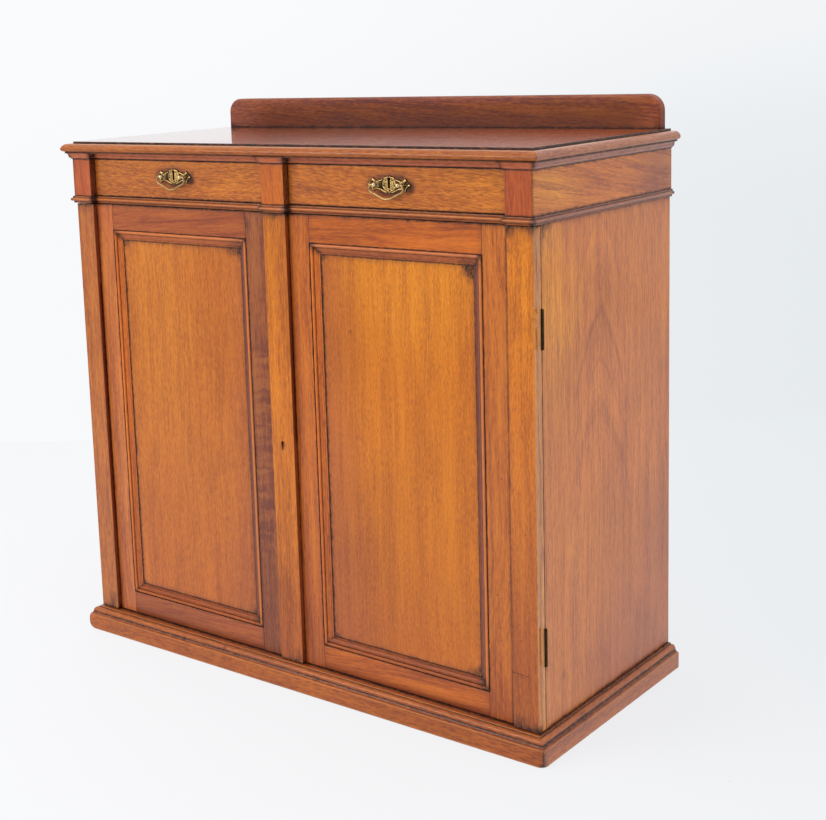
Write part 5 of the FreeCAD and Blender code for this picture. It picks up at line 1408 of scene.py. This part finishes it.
rail_m = {n: wood(n + "_wood", "x", 121 + i, (150, 74, 40), k=0.8, box=box_of(n), joint=0.5, pores=0.5, rough=0.42, coat=0.4) for i, n in enumerate(("top_rail", "drawer_rail"))}
for n, m_ in rail_m.items():
    keep(n, m_, 0.5)
for i, (n, ax, rgb) in enumerate((("drawer_partition", "y", (176, 134, 88)), ("drawer_guides", "y", (172, 130, 86)), ("drawer_stops", "x", (160, 118, 76)),
                                  ("dust_board", "x", (170, 130, 88)), ("cupboard_bottom", "x", (164, 118, 76)), ("shelf", "x", (176, 130, 84)),
                                  ("shelf_bearers", "y", (168, 124, 80)), ("plinth_back", "x", (132, 98, 66)), ("back_boards", "z", (138, 102, 68)),
                                  ("left_drawer_sides_back", "y", (184, 138, 88)), ("left_drawer_bottom", "x", (186, 146, 98)),
                                  ("right_drawer_sides_back", "y", (182, 136, 88)), ("right_drawer_bottom", "x", (184, 144, 98)))):
    box = None if n in ("drawer_guides", "drawer_stops", "shelf_bearers", "back_boards", "left_drawer_sides_back", "right_drawer_sides_back") else box_of(n)
    keep(n, deal(n + "_deal", ax, 131 + i, rgb, k=0.8, box=box, dust=0.4 if n in ("back_boards", "plinth_back", "dust_board") else 0.18), 0.6)

# ------------------------------------------------------------------ floor, light, camera
t = Tree("studio_floor")
x, y = t.xyz[0], t.xyz[1]
# painted shade on the floor: it darkens towards the right
right = t.math("MULTIPLY_ADD", x, 0.7745, t.math("MULTIPLY", y, 0.6314))
mott = t.noise(t.obj, 1.3, 3.0, 0.5)
fine = t.noise(t.obj, 240.0, 3.0, 0.6)
g = t.math("MULTIPLY_ADD", mott, 0.10, t.step(right, -0.9, 1.7))
col = t.ramp(g, [(0.0, lin(247, 248, 250)), (0.5, lin(243, 244, 246)), (1.0, lin(234, 238, 241))])
scuff = t.math("MULTIPLY", t.step(t.noise(t.obj, 34.0, 3.0, 0.6, 1.2), 0.70, 0.76), t.step(t.noise(t.obj, 2.2, 1.0), 0.5, 0.65, 0.0, 0.35))
col = t.mix(scuff, col, lin(214, 216, 219))
far = t.vmath("LENGTH", t.vmath("SUBTRACT", t.obj, (0.3, 0.9, 0.0)))
fall = t.step(far, 2.3, 4.2, 1.0, 0.55)
col = t.vmath("SCALE", col, scale=fall)
t.put(t.bsdf.inputs["Base Color"], col)
t.put(t.bsdf.inputs["Roughness"], t.math("MULTIPLY_ADD", fine, 0.2, 0.5))
t.put(t.bsdf.inputs["Normal"], t.bump(fine, 0.0004, 0.3))
t.bsdf.inputs["IOR"].default_value = 1.3
# the floor glows: mostly emission, so it stays evenly bright and shadows on it stay faint
em = t.new("ShaderNodeEmission")
t.put(em.inputs[0], col)
em.inputs[1].default_value = 0.99
mx = t.new("ShaderNodeMixShader")
mx.inputs[0].default_value = 0.86
t.nt.links.new(t.bsdf.outputs[0], mx.inputs[1])
t.nt.links.new(em.outputs[0], mx.inputs[2])
t.nt.links.new(mx.outputs[0], t.out.inputs[0])
# the far edge of the floor runs where the photograph's backdrop meets it
a, b = Vector((-1.88, 0.63, 0)), Vector((0.063, 2.191, 0))
d = (b - a).normalized()
nrm = Vector((d.y, -d.x, 0))
fa, fb = a - d * 6.0, b + d * 6.0
vs, fs = [], []
N, K = 14, 10
for i in range(N + 1):
    for k in range(K + 1):
        q = fa.lerp(fb, i / N) + nrm * (9.0 * k / K)
        vs.append((q.x, q.y, 0.0))
for i in range(N):
    for k in range(K):
        j = i * (K + 1) + k
        fs.append((j, j + 1, j + K + 2, j + K + 1))
me = bpy.data.meshes.new("floor")
me.from_pydata(vs, [], fs)
bm = bmesh.new()
bm.from_mesh(me)
for f in bm.faces:
    if f.normal.z < 0:
        f.normal_flip()
bm.to_mesh(me)
bm.free()
floor = new_object("floor", me)
me.materials.append(t.mat)

w = bpy.data.worlds.new("studio")
scene.world = w
w.use_nodes = True
nt = w.node_tree
nt.nodes.clear()
wo = nt.nodes.new("ShaderNodeOutputWorld")
bg = nt.nodes.new("ShaderNodeBackground")
tc = nt.nodes.new("ShaderNodeTexCoord")


def wmath(kind, op, *ins):
    n = nt.nodes.new(kind)
    n.operation = op
    for i, v in enumerate(ins):
        if isinstance(v, bpy.types.NodeSocket):
            nt.links.new(v, n.inputs[i])
        else:
            n.inputs[i].default_value = v
    return n.outputs["Value"] if op == "DOT_PRODUCT" else n.outputs[0]


def wstep(v, a_, b_, lo_, hi_):
    n = nt.nodes.new("ShaderNodeMapRange")
    n.interpolation_type = "SMOOTHSTEP"
    nt.links.new(v, n.inputs["Value"])
    for k_, x_ in (("From Min", a_), ("From Max", b_), ("To Min", lo_), ("To Max", hi_)):
        n.inputs[k_].default_value = x_
    return n.outputs[0]


dirn = tc.outputs["Generated"]
behind = wmath("ShaderNodeVectorMath", "DOT_PRODUCT", dirn, (-0.587, 0.809, 0.0))
across = wmath("ShaderNodeVectorMath", "DOT_PRODUCT", dirn, (0.7745, 0.6314, -0.037))
up = wmath("ShaderNodeVectorMath", "DOT_PRODUCT", dirn, (0.0, 0.0, 1.0))
level = wmath("ShaderNodeMath", "MULTIPLY", wstep(behind, -0.6, 0.35, 0.46, 1.0), 1.0)
ramp = nt.nodes.new("ShaderNodeValToRGB")
e = ramp.color_ramp.elements
e[0].position, e[0].color = 0.0, lin(250, 251, 253)
e[1].position, e[1].color = 1.0, lin(231, 235, 238)
e.new(0.45).color = lin(246, 247, 249)
low = wstep(up, 0.05, -0.12, 0.0, 0.45)
side_ = wmath("ShaderNodeMath", "ADD", wstep(across, -0.15, 0.35, 0.0, 0.55), low)
side_ = wmath("ShaderNodeMath", "MULTIPLY", side_, wstep(across, -0.25, 0.1, 0.35, 1.0))
nt.links.new(side_, ramp.inputs[0])
nt.links.new(ramp.outputs[0], bg.inputs[0])
nt.links.new(level, bg.inputs[1])
nt.links.new(bg.outputs[0], wo.inputs[0])


def area(name, loc, target, sx, sy, power, rgb=(255, 255, 255)):
    l = bpy.data.lights.new(name, "AREA")
    l.shape = "RECTANGLE"
    l.size, l.size_y = sx, sy
    l.energy = power
    l.color = lin(*rgb)[:3]
    o = bpy.data.objects.new(name, l)
    scene.collection.objects.link(o)
    o.location = loc
    o.rotation_euler = (Vector(target) - Vector(loc)).to_track_quat("-Z", "Y").to_euler()
    return o


area("key_softbox", (-1.9, -3.5, 2.25), (0.1, -0.1, 0.6), 2.4, 2.2, 78)
area("top_softbox", (0.3, -0.8, 3.6), (0.1, 0.1, 0.5), 2.6, 2.2, 46)
area("right_fill", (3.6, -0.6, 2.0), (0.4, 0.0, 0.6), 1.8, 2.2, 22)

cam = bpy.data.cameras.new("camera")
cam.sensor_fit = "HORIZONTAL"
cam.sensor_width = 36.0
cam.lens = 1487.8379 / 826.0 * 36.0
cam.shift_x = 97.0 / 826.0
cam.shift_y = -102.0 / 826.0
cam.clip_end = 100
co = bpy.data.objects.new("camera", cam)
scene.collection.objects.link(co)
co.matrix_world = Matrix(((0.774545, -0.079527, 0.627499, 1.692444), (0.631428, 0.155450, -0.759693, -2.172908), (-0.037128, 0.984637, 0.170619, 1.151836), (0, 0, 0, 1)))
scene.camera = co
scene.view_settings.view_transform = "Standard"
scene.view_settings.look = "None"
scene.view_settings.exposure = 0.0
scene.view_settings.gamma = 1.0
